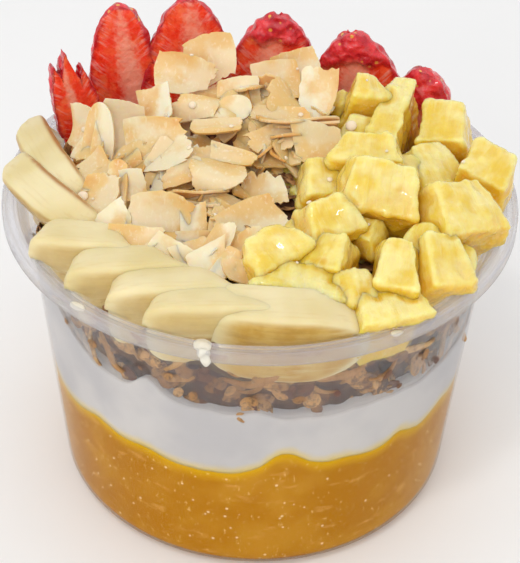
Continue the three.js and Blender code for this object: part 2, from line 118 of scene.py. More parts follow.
# Pineapple chunks: x, y and height of the top, then width, depth, heading, tip, roll.
PINEAPPLES = [
    (26, -13, 90.5, 17.5, 13, -4, 34, 6),
    (42, -16, 86, 16, 15, 28, 22, 12),
    (50.2, 0, 85.5, 11.5, 12, -24, 10, 12),
    (43, 15.5, 87, 11.5, 14, -12, 18, -6),
    (30.5, 16.5, 89, 7, 22, -18, 10, 0),
    (3, -30, 85.5, 13, 10, 38, 16, -8),
    (27.8, -42.2, 80, 15, 9, 22, 14, 4),
    (29, -34, 85, 8.5, 14, -8, 26, 4),
    (37, -30, 82.5, 10, 13, 20, 28, 14),
    (14, -22, 87, 12, 10, 24, 30, 0),
    (24, -1, 90, 15, 9, -8, 20, -6),
    (10.5, -37.5, 82.5, 18, 9, -6, 14, 4),
    (20.5, -38, 82.5, 8, 9, 12, 20, 0),
    (37.5, 1, 84, 11, 13, 30, 22, 10),
    (36.5, -24, 83, 11, 8, -10, 30, 8),
    (17.5, -31, 86, 8, 10, -28, 26, -10),
    (22.8, 21, 92, 8.5, 8, 10, 12, 8),
    (25, 11, 86, 13, 9, -14, 22, 0),
    (15, -6, 85, 13, 11, 16, 20, 8),
    (42.5, -26, 79, 8, 8, -30, 14, 10),
    (22, -20, 83.5, 11, 9, -34, 20, 0),
    (7, 1, 80, 10, 8, 12, 20, -8),
]
CHUNK_MIDDLE = 8.0  # how far a chunk's middle lies under its top
MEETING = 2.2  # within this distance of the next chunk a chunk is painted deeper gold, as painted shade
REACH = 24.0  # chunks whose middles are further apart than this don't meet
BITS = 5  # loose bits tried around each chunk
BITS_FROM = 8.0  # none lie further left than this
BITS_WITHIN = 46.0  # nor further out
BIT_SPACING = 8.0  # nor so near one another that they touch

# The coconut heap's core: middle and half sizes of its lumps.
LUMPS = [
    ((-24, 4, 71), (22, 22, 13.5)),
    ((-1, 19, 72), (24, 18, 18.5)),
    ((-12, -12, 71), (20, 18, 10.5)),
    ((3, 4, 72), (12, 8, 13.5)),
]
FILLED = (58, 58, 46, 18)  # small chips on each lump
FILL_TURN = 2.4  # radians round the lump from one of them to the next
# The chips that stand out: middle, normal's compass, its height above level, spin, width,
# length, curl.
CHIPS = [
    (-14, 27, 92.5, 8, 34, 8, 12, 12.5, 1),
    (-18, 22, 91.5, 0, 42, -4, 11.5, 8.5, 1),
    (-15, 12.5, 88.5, 0, 60, 0, 12, 7, -1),
    (-25, 13, 88.5, -28, 40, 35, 8, 8, 1),
    (-24.5, 0, 86.5, -20, 44, 24, 16, 14.5, 2),
    (-37, 4, 84.5, -24, 34, 8, 7.5, 15, 1.5),
    (-41.5, 10, 83.5, -34, 26, 0, 7, 10, 1),
    (-32, 6, 85.5, 10, 24, -12, 11, 12, 1),
    (-10, 7, 87.5, 6, 72, 4, 12, 4, 0.5),
    (-6.5, 12, 89, 0, 50, 0, 7, 5, 1),
    (12.3, 18.5, 89.5, 4, 38, -12, 9, 14, 1),
    (7, 27.5, 91, 4, 40, 20, 11, 8.5, 1),
    (12, 3, 86, 10, 46, -6, 9.5, 9, 1),
    (5.5, 11, 88, 0, 62, -4, 13, 4.5, 0.5),
    (-10, -8.5, 84.5, 0, 60, 8, 11.5, 8, -1.5),
    (-5.5, -2.5, 85.5, 0, 72, -10, 10.5, 4, 1),
    (-13.5, -2, 85.5, 0, 64, 0, 7.5, 4, 0.5),
    (-16.5, -8, 84.5, 10, 52, 16, 11, 5.5, 2),
    (-28.5, -11.5, 83, -10, 46, 10, 7, 6, 1),
    (-22.5, -22, 81, 4, 44, -4, 13.5, 14, 2),
    (-14, -20.5, 80.5, 12, 44, 0, 5.5, 7, 1),
    (-1.5, -19, 79.5, 8, 62, 18, 14, 8, 1),
    (-9, -20, 79.5, 34, 50, -40, 4, 9, 0.5),
    (-13, -26, 78.5, 0, 52, 8, 9, 6, 1),
    (-31, -13, 81.5, -36, 40, 30, 5.5, 12, 1),
    (1, -9, 80.5, -12, 50, 12, 10, 9, 1),
    (-5, 17, 89.5, -6, 40, 12, 10, 9, 1),
    (3, 22, 91, 6, 48, -8, 11, 9, 1),
    (1.5, 4, 86, 4, 56, 10, 12, 7, 1),
]
PETALS = (5, 9)  # the chips that are smooth ovals rather than torn
LARGER = 1.15  # chips are this much wider and longer than their rows say
CURLIER = 1.6  # and this much more curled
# Chips at the foot of the heap, down against the bananas.
LOW = [
    (-11, -31.5, 78.5, 20, 60, 10, 9, 6, 1), (-7, -33, 78.2, -10, 70, 60, 8, 5, 0.6),
    (-3.5, -35, 78.4, 30, 62, -20, 7, 5, 0.8), (-14, -29, 79.2, 0, 66, 30, 9, 7, 1),
    (-9, -27.5, 79, -20, 60, 80, 10, 5, 1), (-2.5, -27, 78.5, 15, 64, 0, 9, 7, 1),
    (-19, -30, 79, 10, 56, -30, 9, 6, 1), (-26, -26.5, 79.5, -15, 56, 15, 10, 7, 1),
    (-31.5, -20, 80, -30, 52, 40, 9, 7, 1), (-35.5, -11, 81, -40, 50, 10, 8, 8, 1),
    (-37, -3, 82, -50, 50, -20, 9, 8, 1), (-39, 5, 82.5, -60, 48, 30, 8, 8, 1),
    (3, -27, 78.5, 40, 60, 20, 7, 6, 1),
]
# Thin chips seen edge-on, stacked at the top of the heap, in the same terms.
STACK = [
    (8, 9, 88, 184, 50, 12, 16, 9, 0.6),
    (11, 9.5, 86.4, 176, 54, -8, 15, 8, 0.4),
    (9.5, 8, 84.8, 188, 52, 4, 14, 8, 0.5),
    (13, 9, 83.4, 180, 56, -14, 12, 7, 0.4),
    (-14, -13, 82.6, 190, 50, 20, 12, 7, 0.5),
    (-15, -14, 81.2, 176, 54, -6, 12, 7, 0.4),
    (-17, -12, 80.2, 182, 50, 10, 10, 6, 0.4),
]
CORNERS = ((-1, -1), (1, -1), (1, 1), (-1, 1))
TORN = (0.02, 0.04, 0.09, 0.22)  # how ragged a side of a chip can be, as a share of its half
BULGE = (-0.04, 0.2)  # how far a side can bow in or out, as a share of the chip's half

# How many oats, clusters and shreds are tried against the wall, and how many lie on top. A
# third of the close oats are kept.
WALL_OATS, CLOSE_OATS, TOP_OATS = 680, 90, 520
WALL_CLUSTERS, TOP_CLUSTERS = 70, 60
WALL_SHREDS = 60
PUSHED_OUT = 0.004  # share of its radius by which an oat right at the wall is moved into it

# Yogurt left on the rim: angle, radius, height, then half sizes round, across and up.
SMEARS = [
    (-130.5, 57.4, 74.5, 1.9, 1.0, 0.6),
    (-101.2, 56.0, 74.6, 2.0, 2.0, 0.5), (-100.6, 57.9, 74.1, 1.3, 0.8, 1.2),
    (-100.0, 58.4, 72.8, 1.0, 0.5, 1.7),
    (-59.6, 57.2, 74.6, 1.4, 0.9, 0.4), (35, 56.8, 74.6, 1.8, 0.9, 0.4),
    (128, 57.0, 74.6, 2.2, 0.9, 0.4),
]
UNSTAINED = 9.0  # a distance from the puree at which yogurt takes no stain from it
# The large drops on the toppings, x, y and radius, then how many small ones, and where.
DROP_BALLS = [(-39.2, -10.8, 1.3), (-24.4, -14.4, 1.3), (20.3, 9.4, 1.3), (-16, 12, 0.9)]
DROPS = 36
DROPS_WITHIN = 46
DROPS_ABOVE = 78

GOLDEN_TURN = 137.5  # degrees from one scattered thing to the next, so that no rows show
GOLDEN_SHARE = 0.618034  # a step round the wall as a share of a turn, for the same reason

# ------------------------------------------------------------------ colour and shader nodes

MIX_A, MIX_B, MIX_RESULT = 6, 7, 2  # the Mix node's colour sockets
# A MapRange node's inputs are, from 0 to 4, its value, two marks and what it gives at each.
SMOOTH = {"interpolation_type": "SMOOTHSTEP"}


def linear(hex_colour):
    """An sRGB hex colour as Blender's linear RGBA."""
    parts = [int(hex_colour[i:i + 2], 16) / 255 for i in (1, 3, 5)]
    low, high = 0.04045, 0.055
    return [c / 12.92 if c <= low else ((c + high) / (1 + high)) ** 2.4 for c in parts] + [1.0]


def fill_in(tree, made, inputs):
    """Sets a node's inputs: a socket is linked, a hex colour converted, a number written."""
    for key, value in inputs.items():
        socket = made.inputs[key]
        if isinstance(value, bpy.types.NodeSocket):
            tree.links.new(value, socket)
        else:
            socket.default_value = linear(value) if isinstance(value, str) else value


def add(tree, kind, inputs, out=0, **settings):
    """Adds one shader node with its settings and links, and returns one of its outputs."""
    made = tree.nodes.new("ShaderNode" + kind)
    for key, value in settings.items():
        setattr(made, key, value)
    fill_in(tree, made, inputs)
    return made.outputs[out]


def begin(name, *carried):
    """A new material, with its node tree, its shader, Object coordinates in millimetres and
    the numbers that its pieces carry on their vertices under the given names."""
    made = bpy.data.materials.new(name)
    made.use_nodes = True
    tree = made.node_tree
    metres = add(tree, "TexCoord", {}, "Object")
    where = add(tree, "VectorMath", {0: metres, 1: [1 / MM] * 3}, operation="MULTIPLY")
    values = [add(tree, "Attribute", {}, "Fac", attribute_name=key) for key in carried]
    return made, tree, tree.nodes["Principled BSDF"], where, *values


def blotches(tree, where, size, detail=3.0, roughness=0.55, squeeze=(1, 1, 1)):
    """Soft noise with blotches of about the given size, in the units of its coordinates,
    which are squeezed along their axes first."""
    squeezed = add(tree, "VectorMath", {0: where, 1: squeeze}, operation="MULTIPLY")
    return add(tree, "TexNoise", {
        "Vector": squeezed, "Scale": 1 / size, "Detail": detail, "Roughness": roughness,
    })


def shown(tree, *rises, most=1.0):
    """How much of a colour shows, from none to most. Each rise is a value and the marks
    between which it climbs, or falls if they are the other way round."""
    for value, low, high in rises:
        risen = add(tree, "MapRange", {0: value, 1: low, 2: high}, **SMOOTH)
        most = add(tree, "Math", {0: risen, 1: most}, operation="MULTIPLY")
    return most


def laid_over(tree, colour, *layers):
    """A colour with others laid over it in turn. Each layer is its share and its colour."""
    for amount, other in layers:
        mixed = {0: amount, MIX_A: colour, MIX_B: other}
        colour = add(tree, "Mix", mixed, MIX_RESULT, data_type="RGBA")
    return colour


# ------------------------------------------------------------------ materials


def clear_polypropylene(name, clarity, rough, least, most):
    """Thermoformed clear polypropylene: all but invisible seen square on, from the share
    least, and milkier up to the share most at a glancing view, with a soft gloss and faint
    flow lines that bend the highlights."""
    made, tree, shader, where = begin(name)
    flow = blotches(tree, where, 9, 2, squeeze=(1, 1, 0.25))
    glance = add(tree, "LayerWeight", {"Blend": 0.5}, "Facing")
    fill_in(tree, shader, {
        "Base Color": laid_over(tree, "#DBDAE1", (blotches(tree, where, 14), "#D0CED8")),
        "Roughness": add(
            tree, "MapRange", {0: flow, 1: 0.3, 2: 0.7, 3: rough, 4: rough + 0.05}, **SMOOTH,
        ),
        "IOR": 1.49,
        "Specular IOR Level": 0.45,
        "Transmission Weight": clarity,
        "Alpha": add(tree, "MapRange", {0: glance, 1: 0.4, 2: 1.0, 3: least, 4: most}, **SMOOTH),
        "Normal": add(tree, "Bump", {"Distance": 0.12 * MM, "Height": flow}),
    })
    return made


def fruit_puree():
    """Blended mango: golden orange, with soft pale clouds, fine pale pulp fibres, tiny air
    bubbles against the wall and a yellower edge where it meets the yogurt."""
    made, tree, shader, where, below = begin("blended_mango", "below")
    clouds = blotches(tree, where, 15, 4, 0.6)
    smear = blotches(tree, where, 9, 5, 0.62, (1, 1, 2.6))
    pulp = blotches(tree, where, 1.1, 2, squeeze=(1.5, 1.5, 0.7))
    bubbles = add(tree, "TexVoronoi", {"Vector": where, "Scale": 1 / 3.4})
    edge = add(tree, "Math", {0: smear, 1: 3, 2: below}, operation="MULTIPLY_ADD")
    fill_in(tree, shader, {
        "Base Color": laid_over(
            tree, "#B87A00",
            (shown(tree, (clouds, 0.4, 0.66)), "#C68C1E"),
            (shown(tree, (smear, 0.57, 0.68), most=0.5), "#DFA752"),
            (shown(tree, (pulp, 0.62, 0.74), most=0.6), "#EBC573"),
            (shown(tree, (bubbles, 0.14, 0.06), most=0.8), "#F6DCA8"),
            (shown(tree, (edge, 5.5, 1.5), most=0.85), "#DDAA0A"),
        ),
        "Roughness": 0.42,
        "IOR": 1.38,
        "Specular IOR Level": 0.1,
        "Subsurface Weight": 0.25,
        "Subsurface Radius": (1.0, 0.45, 0.12),
        "Subsurface Scale": 2.5 * MM,
        "Normal": add(tree, "Bump", {"Distance": 0.1 * MM, "Height": pulp}),
    })
    return made


def plain_yogurt(name, dull, bright):
    """Stirred yogurt: its two given colours, which for the fill are white greyed as painted shade,
    soft light through it, and a yellow stain where it meets the puree."""
    made, tree, shader, where, above = begin(name, "above")
    cast = blotches(tree, where, 20)
    uneven = blotches(tree, where, 5)
    stain = add(tree, "Math", {0: uneven, 1: 3, 2: above}, operation="MULTIPLY_ADD")
    fill_in(tree, shader, {
        "Base Color": laid_over(
            tree, dull,
            (shown(tree, (cast, 0.35, 0.65)), bright),
            (shown(tree, (stain, 4.6, 1.0), most=0.9), "#E2C76A"),
        ),
        "Roughness": 0.35,
        "IOR": 1.38,
        "Specular IOR Level": 0.1,
        "Subsurface Weight": 0.3,
        "Subsurface Radius": (1.0, 0.9, 0.8),
        "Subsurface Scale": 2.0 * MM,
        "Normal": add(tree, "Bump", {"Distance": 0.15 * MM, "Height": blotches(tree, where, 4)}),
    })
    return made


def rolled_oats(name, light, dark, toasted):
    """Rolled oats and their crumbs: matt tan flakes, each a little lighter or more toasted
    than the next, with a fine grain."""
    made, tree, shader, where, shade = begin(name, "shade")
    grain = blotches(tree, where, 1.2, 4, 0.6)
    fill_in(tree, shader, {
        "Base Color": laid_over(
            tree, light, (shade, dark), (shown(tree, (grain, 0.45, 0.66), most=0.8), toasted),
        ),
        "Roughness": 0.68,
        "IOR": 1.45,
        "Subsurface Weight": 0.08,
        "Subsurface Scale": 1.0 * MM,
        "Normal": add(tree, "Bump", {"Distance": 0.35 * MM, "Height": grain}),
    })
    return made


def toasted_coconut():
    """Oven-toasted coconut: smooth ivory flesh that turns golden towards one end, and a
    deeper orange underneath and low in the heap that is painted shade; light comes softly through
    the shavings."""
    made, tree, shader, where, shade, toast, under = begin(
        "toasted_coconut", "shade", "toast", "under",
    )
    cloud = add(tree, "Math", {0: toast, 1: blotches(tree, where, 3, 4)})
    streak = blotches(tree, where, 0.8, squeeze=(1, 1, 0.3))
    waves = blotches(tree, where, 2.2, 2)
    fill_in(tree, shader, {
        "Base Color": laid_over(
            tree, "#F8EED4",
            (shade, "#DEB877"),
            (shown(tree, (cloud, 0.55, 1.1), most=0.8), "#E6BE76"),
            (shown(tree, (cloud, 1.1, 1.7), most=0.8), "#DCA04C"),
            # A deeper orange on the undersides: painted shade.
            (under, "#C48638"),
            (shown(tree, (streak, 0.55, 0.7), most=0.35), "#F8EDD8"),
        ),
        "Roughness": 0.42,
        "IOR": 1.45,
        "Subsurface Weight": 0.5,
        "Subsurface Radius": (1.0, 0.6, 0.25),
        "Subsurface Scale": 1.5 * MM,
        "Normal": add(tree, "Bump", {"Distance": 0.15 * MM, "Height": waves}),
    })
    return made


def coconut_crumbs_and_gap_shade():
    """Crumbs and slivers of coconut down between the shavings, a deep brown that is partly their
    toast and partly painted shade in the gaps.
    """
    made, tree, shader, where = begin("coconut_crumbs_and_gap_shade")
    grain = blotches(tree, where, 1.3, 4, 0.6)
    fill_in(tree, shader, {
        "Base Color": laid_over(tree, "#4E2610", (shown(tree, (grain, 0.4, 0.65)), "#8F5A26")),
        "Roughness": 0.6,
        "IOR": 1.45,
        "Normal": add(tree, "Bump", {"Distance": 0.5 * MM, "Height": grain}),
    })
    return made


def banana_flesh():
    """Fresh banana: cream and matt round the outside, a wet cut face, golden partly from the
    flesh's own tone and partly from painted shade, with fine fibres along it, brown seeds in a row
    down its middle and a brown band along the inner top edge."""
    made, tree, shader, where, face, brown_seam = begin("banana_flesh", "face", "brown_seam")
    at = add(tree, "Attribute", {}, "Vector", attribute_name="own")
    strands = blotches(tree, at, 0.9, 2, squeeze=(0.9, 3, 6))
    side = laid_over(
        tree, "#E8DAAE",
        (shown(tree, (blotches(tree, where, 16, 2), 0.3, 0.7)), "#DAC890"),
        (shown(tree, (strands, 0.5, 0.75), most=0.25), "#CDB070"),
    )
    fibres = blotches(tree, at, 0.9, squeeze=(1.3, 0.4, 6))
    cut = laid_over(
        tree, "#C2983E",
        (shown(tree, (blotches(tree, where, 5), 0.35, 0.65)), "#CFAC5C"),
        (shown(tree, (fibres, 0.5, 0.7), most=0.5), "#AE8434"),
        (shown(tree, (fibres, 0.46, 0.3), most=0.6), "#DCC890"),
    )
    row = add(tree, "VectorMath", {0: at, 1: (1.6, 0, 6.5)}, operation="MULTIPLY")
    from_row = add(tree, "VectorMath", {0: row}, "Value", operation="LENGTH")
    seeds = blotches(tree, at, 1, 2, squeeze=(7, 1, 18))
    fill_in(tree, shader, {
        "Base Color": laid_over(
            tree, side,
            # The golden cut face: partly the flesh's own tone, partly painted shade.
            (face, cut),
            (shown(tree, (from_row, 1.0, 0.35), (seeds, 0.44, 0.58), most=face), "#9A6526"),
            (shown(tree, (blotches(tree, where, 6, 4), 0.25, 0.5), most=brown_seam), "#AC7A46"),
        ),
        "Roughness": add(tree, "MapRange", {0: face, 1: 0, 2: 1, 3: 0.5, 4: 0.3}, **SMOOTH),
        "IOR": 1.4,
        "Subsurface Weight": 0.4,
        "Subsurface Radius": (1.0, 0.7, 0.3),
        "Subsurface Scale": 2.5 * MM,
        "Normal": add(
            tree, "Bump", {"Distance": 0.16 * MM, "Height": blotches(tree, where, 1.6, 4)},
        ),
    })
    return made


def strawberry_flesh():
    """Cut strawberry: wet, scarlet flesh clouded with orange, a salmon band up its middle,
    short pale streaks at the rim, and glossy crimson skin pitted where each seed sits, with pale
    pink painted highlights on it."""
    made, tree, shader, where, skin, band, rim = begin("strawberry_flesh", "skin", "band", "rim")
    grain = add(tree, "Attribute", {}, "Vector", attribute_name="grain")
    patches = blotches(tree, where, 3.6, 4, 0.6)
    fine = blotches(tree, where, 1.3, 3, 0.6)
    seeds = add(tree, "TexVoronoi", {"Vector": where, "Scale": 1 / 2.4, "Randomness": 0.8})
    skin_colour = laid_over(
        tree, "#C4182C",
        (shown(tree, (patches, 0.36, 0.64)), "#EE3840"),
        # Pale pink patches on the skin: painted highlights.
        (shown(tree, (patches, 0.6, 0.7), most=0.4), "#F29AA2"),
        (shown(tree, (seeds, 0.24, 0.14), most=0.9), "#E8B050"),
    )
    clouds = blotches(tree, where, 5, 2)
    streaks = blotches(tree, grain, 2.2, squeeze=(1, 0.25, 1))
    veins = blotches(tree, grain, 0.9, 3, 0.6, (0.2, 0.8, 1))
    pale = add(tree, "Math", {0: fine, 1: 0.7, 2: band}, operation="MULTIPLY_ADD")
    dark = add(tree, "Math", {0: patches, 1: 0.5, 2: rim}, operation="MULTIPLY_ADD")
    faint = add(tree, "Math", {0: band, 1: 0.25}, operation="MULTIPLY")
    cut = laid_over(
        tree, "#FF5C36",
        (shown(tree, (patches, 0.4, 0.6)), "#FA3E24"),
        (shown(tree, (streaks, 0.5, 0.62), most=0.8), "#F03418"),
        (shown(tree, (clouds, 0.56, 0.66), most=0.7), "#FF7A4C"),
        (shown(tree, (pale, 0.62, 1.1), most=0.9), "#FFA48C"),
        (shown(tree, (veins, 0.52, 0.64), most=faint), "#FFC4B4"),
        (shown(tree, (rim, 0.35, 0.8), (veins, 0.5, 0.62), most=0.5), "#F8B0A8"),
        (shown(tree, (dark, 1.02, 1.26), most=0.9), "#B80A26"),
    )
    pits = shown(tree, (seeds, 0.05, 0.7), most=skin)
    height = add(tree, "Math", {0: fine, 1: 0.6, 2: pits}, operation="MULTIPLY_ADD")
    fill_in(tree, shader, {
        "Base Color": laid_over(tree, cut, (skin, skin_colour)),
        "Roughness": add(tree, "MapRange", {0: fine, 1: 0.3, 2: 0.7, 3: 0.16, 4: 0.34}, **SMOOTH),
        "IOR": 1.4,
        "Subsurface Weight": 0.3,
        "Subsurface Radius": (1.0, 0.25, 0.15),
        "Subsurface Scale": 1.5 * MM,
        "Coat Weight": 0.5,
        "Coat Roughness": 0.08,
        "Normal": add(tree, "Bump", {"Distance": 0.6 * MM, "Height": height}),
    })
    return made


def pineapple_flesh():
    """Ripe pineapple: wet and translucent, with painted shade that turns it deeper gold down its
    sides, low down and where it meets the next chunk, pale painted highlights along its upward
    edges, and long paler fibres."""
    made, tree, shader, where, low, ridge_highlight = begin("pineapple_flesh", "low", "ridge_highlight")
    at = add(tree, "Attribute", {}, "Vector", attribute_name="own")
    cloud = blotches(tree, where, 7)
    deep = add(tree, "Math", {0: low, 1: cloud})
    fibre = blotches(tree, at, 0.9, 3, 0.6, (1, 0.12, 1))
    wet = add(tree, "Math", {0: fibre, 1: blotches(tree, where, 2.2)})
    fill_in(tree, shader, {
        "Base Color": laid_over(
            tree, "#E8CA4C",
            (shown(tree, (cloud, 0.36, 0.64)), "#EFE094"),
            # Deeper gold where the low share is high: painted shade, broken up by a random cloud.
            (shown(tree, (deep, 0.8, 1.4), most=0.9), "#E6B92A"),
            (shown(tree, (fibre, 0.54, 0.7), most=0.25), "#F2E8AE"),
            (shown(tree, (fibre, 0.42, 0.3), most=0.2), "#DCBC38"),
            # Pale along convex, upward-facing edges: a painted highlight.
            (ridge_highlight, "#F0E6A6"),
        ),
        "Roughness": add(tree, "MapRange", {0: cloud, 1: 0.3, 2: 0.7, 3: 0.14, 4: 0.3}, **SMOOTH),
        "IOR": 1.38,
        "Subsurface Weight": 1.0,
        "Subsurface Radius": (1.0, 0.85, 0.25),
        "Subsurface Scale": 4.0 * MM,
        "Coat Weight": 0.6,
        "Coat Roughness": 0.06,
        "Normal": add(tree, "Bump", {"Distance": 0.35 * MM, "Height": wet}),
    })
    return made


def fruit_juice():
    """Drops of juice and thinned yogurt: milky and pale, with a wet gloss."""
    made, tree, shader, where = begin("fruit_juice")
    fill_in(tree, shader, {
        "Base Color": laid_over(tree, "#F4E6D2", (blotches(tree, where, 2), "#EAD6B8")),
        "Roughness": 0.12,
        "IOR": 1.35,
        "Subsurface Weight": 0.6,
        "Subsurface Radius": (1.0, 0.8, 0.6),
        "Subsurface Scale": 1.0 * MM,
        "Normal": add(tree, "Bump", {"Distance": 0.05 * MM, "Height": blotches(tree, where, 1)}),
    })
    return made


def pale_floor():
    """Painted board: pale and matt."""
    made, tree, shader, where = begin("pale_board")
    fill_in(tree, shader, {
        "Base Color": laid_over(tree, "#F6F6F6", (blotches(tree, where, 60), "#F2F2F2")),
        "Roughness": 0.8,
    })
    return made


# ------------------------------------------------------------------ shape helpers


def smoothstep(low, high, value):
    share = min(1.0, max(0.0, (value - low) / (high - low)))
    return share * share * (3 - 2 * share)


def ripple(point, size, seed=0.0):
    """Smooth noise from about -1 to 1, with lumps of the given size in millimetres."""
    return noise.noise(Vector(point) / size + Vector((seed, 1.7 * seed, 0.3 * seed)))


def link(name, data):
    made = bpy.data.objects.new(name, data)
    bpy.context.scene.collection.objects.link(made)
    return made


def as_mesh(name, bm):
    """A mesh made of a bmesh, which is freed."""
    mesh = bpy.data.meshes.new(name)
    bm.to_mesh(mesh)
    bm.free()
    return mesh


def piece(name, bm, finish, slot, *nodes):
    """A bmesh in millimetres becomes a smooth-shaded piece of the bowl."""
    bm.transform(Matrix.Scale(MM, 4))
    mesh = as_mesh(name, bm)
    mesh.materials.append(finish)
    mesh.shade_smooth()
    made = link(name, mesh)
    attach(made, "root")
    if nodes:
        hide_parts(*nodes)
    return made


def spun(profile, steps):
    """A bmesh turned about Z from (radius, height) pairs that form a closed ring or touch
    the axis at both ends."""
    bm = bmesh.new()
    chain = [bm.verts.new((radius, 0, height)) for radius, height in profile]
    edges = [bm.edges.new(pair) for pair in zip(chain, chain[1:])]
    bmesh.ops.spin(
        bm, geom=chain + edges, cent=(0, 0, 0), axis=(0, 0, 1),
        angle=2 * math.pi, steps=steps, use_merge=True,
    )
    bmesh.ops.remove_doubles(bm, verts=bm.verts, dist=1e-4)
    bmesh.ops.recalc_face_normals(bm, faces=bm.faces)
    return bm


def arc(middle, height, radius, start, end, steps):
    """Points on a circle in the profile plane, angles in degrees from level outwards."""
    turns = [math.radians(start + (end - start) * i / steps) for i in range(steps + 1)]
    return [(middle + radius * math.cos(t), height + radius * math.sin(t)) for t in turns]


def whole_node(node, voxel):
    """The node's solid in millimetres with what its neighbours take from it filled, rebuilt
    in small even faces and a little softened."""
    source = bmesh.new()
    source.from_mesh(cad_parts[node].data)
    bmesh.ops.remove_doubles(source, verts=source.verts, dist=1e-6)
    hull = bmesh.ops.convex_hull(source, input=source.verts)
    spare = set(hull["geom_interior"]) | set(hull["geom_unused"])
    loose = [item for item in spare if isinstance(item, bmesh.types.BMVert)]
    bmesh.ops.delete(source, geom=loose, context="VERTS")
    source.transform(Matrix.Scale(1 / MM, 4))
    mesh = as_mesh("even", source)
    holder = link("even", mesh)
    remesh = holder.modifiers.new("even", "REMESH")
    remesh.mode = "VOXEL"
    remesh.voxel_size = voxel
    bpy.context.view_layer.update()
    even = holder.evaluated_get(bpy.context.evaluated_depsgraph_get())
    bm = bmesh.new()
    bm.from_mesh(even.to_mesh())
    even.to_mesh_clear()
    bpy.data.objects.remove(holder)
    bpy.data.meshes.remove(mesh)
    bmesh.ops.smooth_vert(
        bm, verts=bm.verts, factor=0.5, use_axis_x=True, use_axis_y=True, use_axis_z=True,
    )
    bm.normal_update()
    return bm


def swell(bm, amount):
    """Moves every vertex along its normal by amount(vertex), in millimetres."""
    moves = [(vert, vert.normal * amount(vert)) for vert in bm.verts]
    for vert, move in moves:
        vert.co += move
    bm.normal_update()


def stores(bm, *names):
    """Room on the vertices for the numbers that a material reads under these names."""
    return [bm.verts.layers.float.new(name) for name in names]


def carry(bm, name, values):
    """Gives each vertex its value, which the material reads under the name."""
    store, = stores(bm, name)
    for vert, value in zip(bm.verts, values):
        vert[store] = value


def on_circle(angle, radius, height):
    turn = math.radians(angle)
    return Vector((radius * math.cos(turn), radius * math.sin(turn), height))


def over_disc(count, reach):
    """The angle and radius of places spread evenly over a disc."""
    return [(i * GOLDEN_TURN, reach * math.sqrt((i + 0.5) / count)) for i in range(count)]


def setting(at, turns):
    """The matrix that turns about X, then Y, then Z (degrees) and moves to a place."""
    return Matrix.Translation(at) @ Euler([math.radians(t) for t in turns]).to_matrix().to_4x4()


def scattered(name, finish, slot, templates, places, mark="shade"):
    """Many small things as one mesh. Each place is (template number, matrix, shade), and the
    mesh carries the shade under the name in mark."""
    bm = bmesh.new()
    shades = []
    for number, matrix, shade in places:
        copy = templates[number].copy()
        copy.transform(matrix)
        bm.from_mesh(copy)
        shades += [shade] * len(copy.vertices)
        bpy.data.meshes.remove(copy)
    carry(bm, mark, shades)
    piece(name, bm, finish, slot)


# ------------------------------------------------------------------ cup


def wall_radius(height):
    return WALL_FOOT + WALL_SLOPE * height


def inner_radius(height):
    return wall_radius(height) - WALL


CORNER_MIDDLE = wall_radius(BASE_CORNER) - BASE_CORNER
FLARE_FOOT = CUP_HEIGHT - FLARE_DROP


def cavity_radius(height):
    """Inside radius of the cup at a height, round its lower corner too."""
    if height < BASE_CORNER:
        drop = min(BASE_CORNER - height, BASE_CORNER - WALL)
        return CORNER_MIDDLE + math.sqrt((BASE_CORNER - WALL) ** 2 - drop ** 2)
    flare = (RIM_INNER - inner_radius(FLARE_FOOT)) / FLARE_DROP
    return inner_radius(min(height, FLARE_FOOT)) + flare * max(0.0, height - FLARE_FOOT)


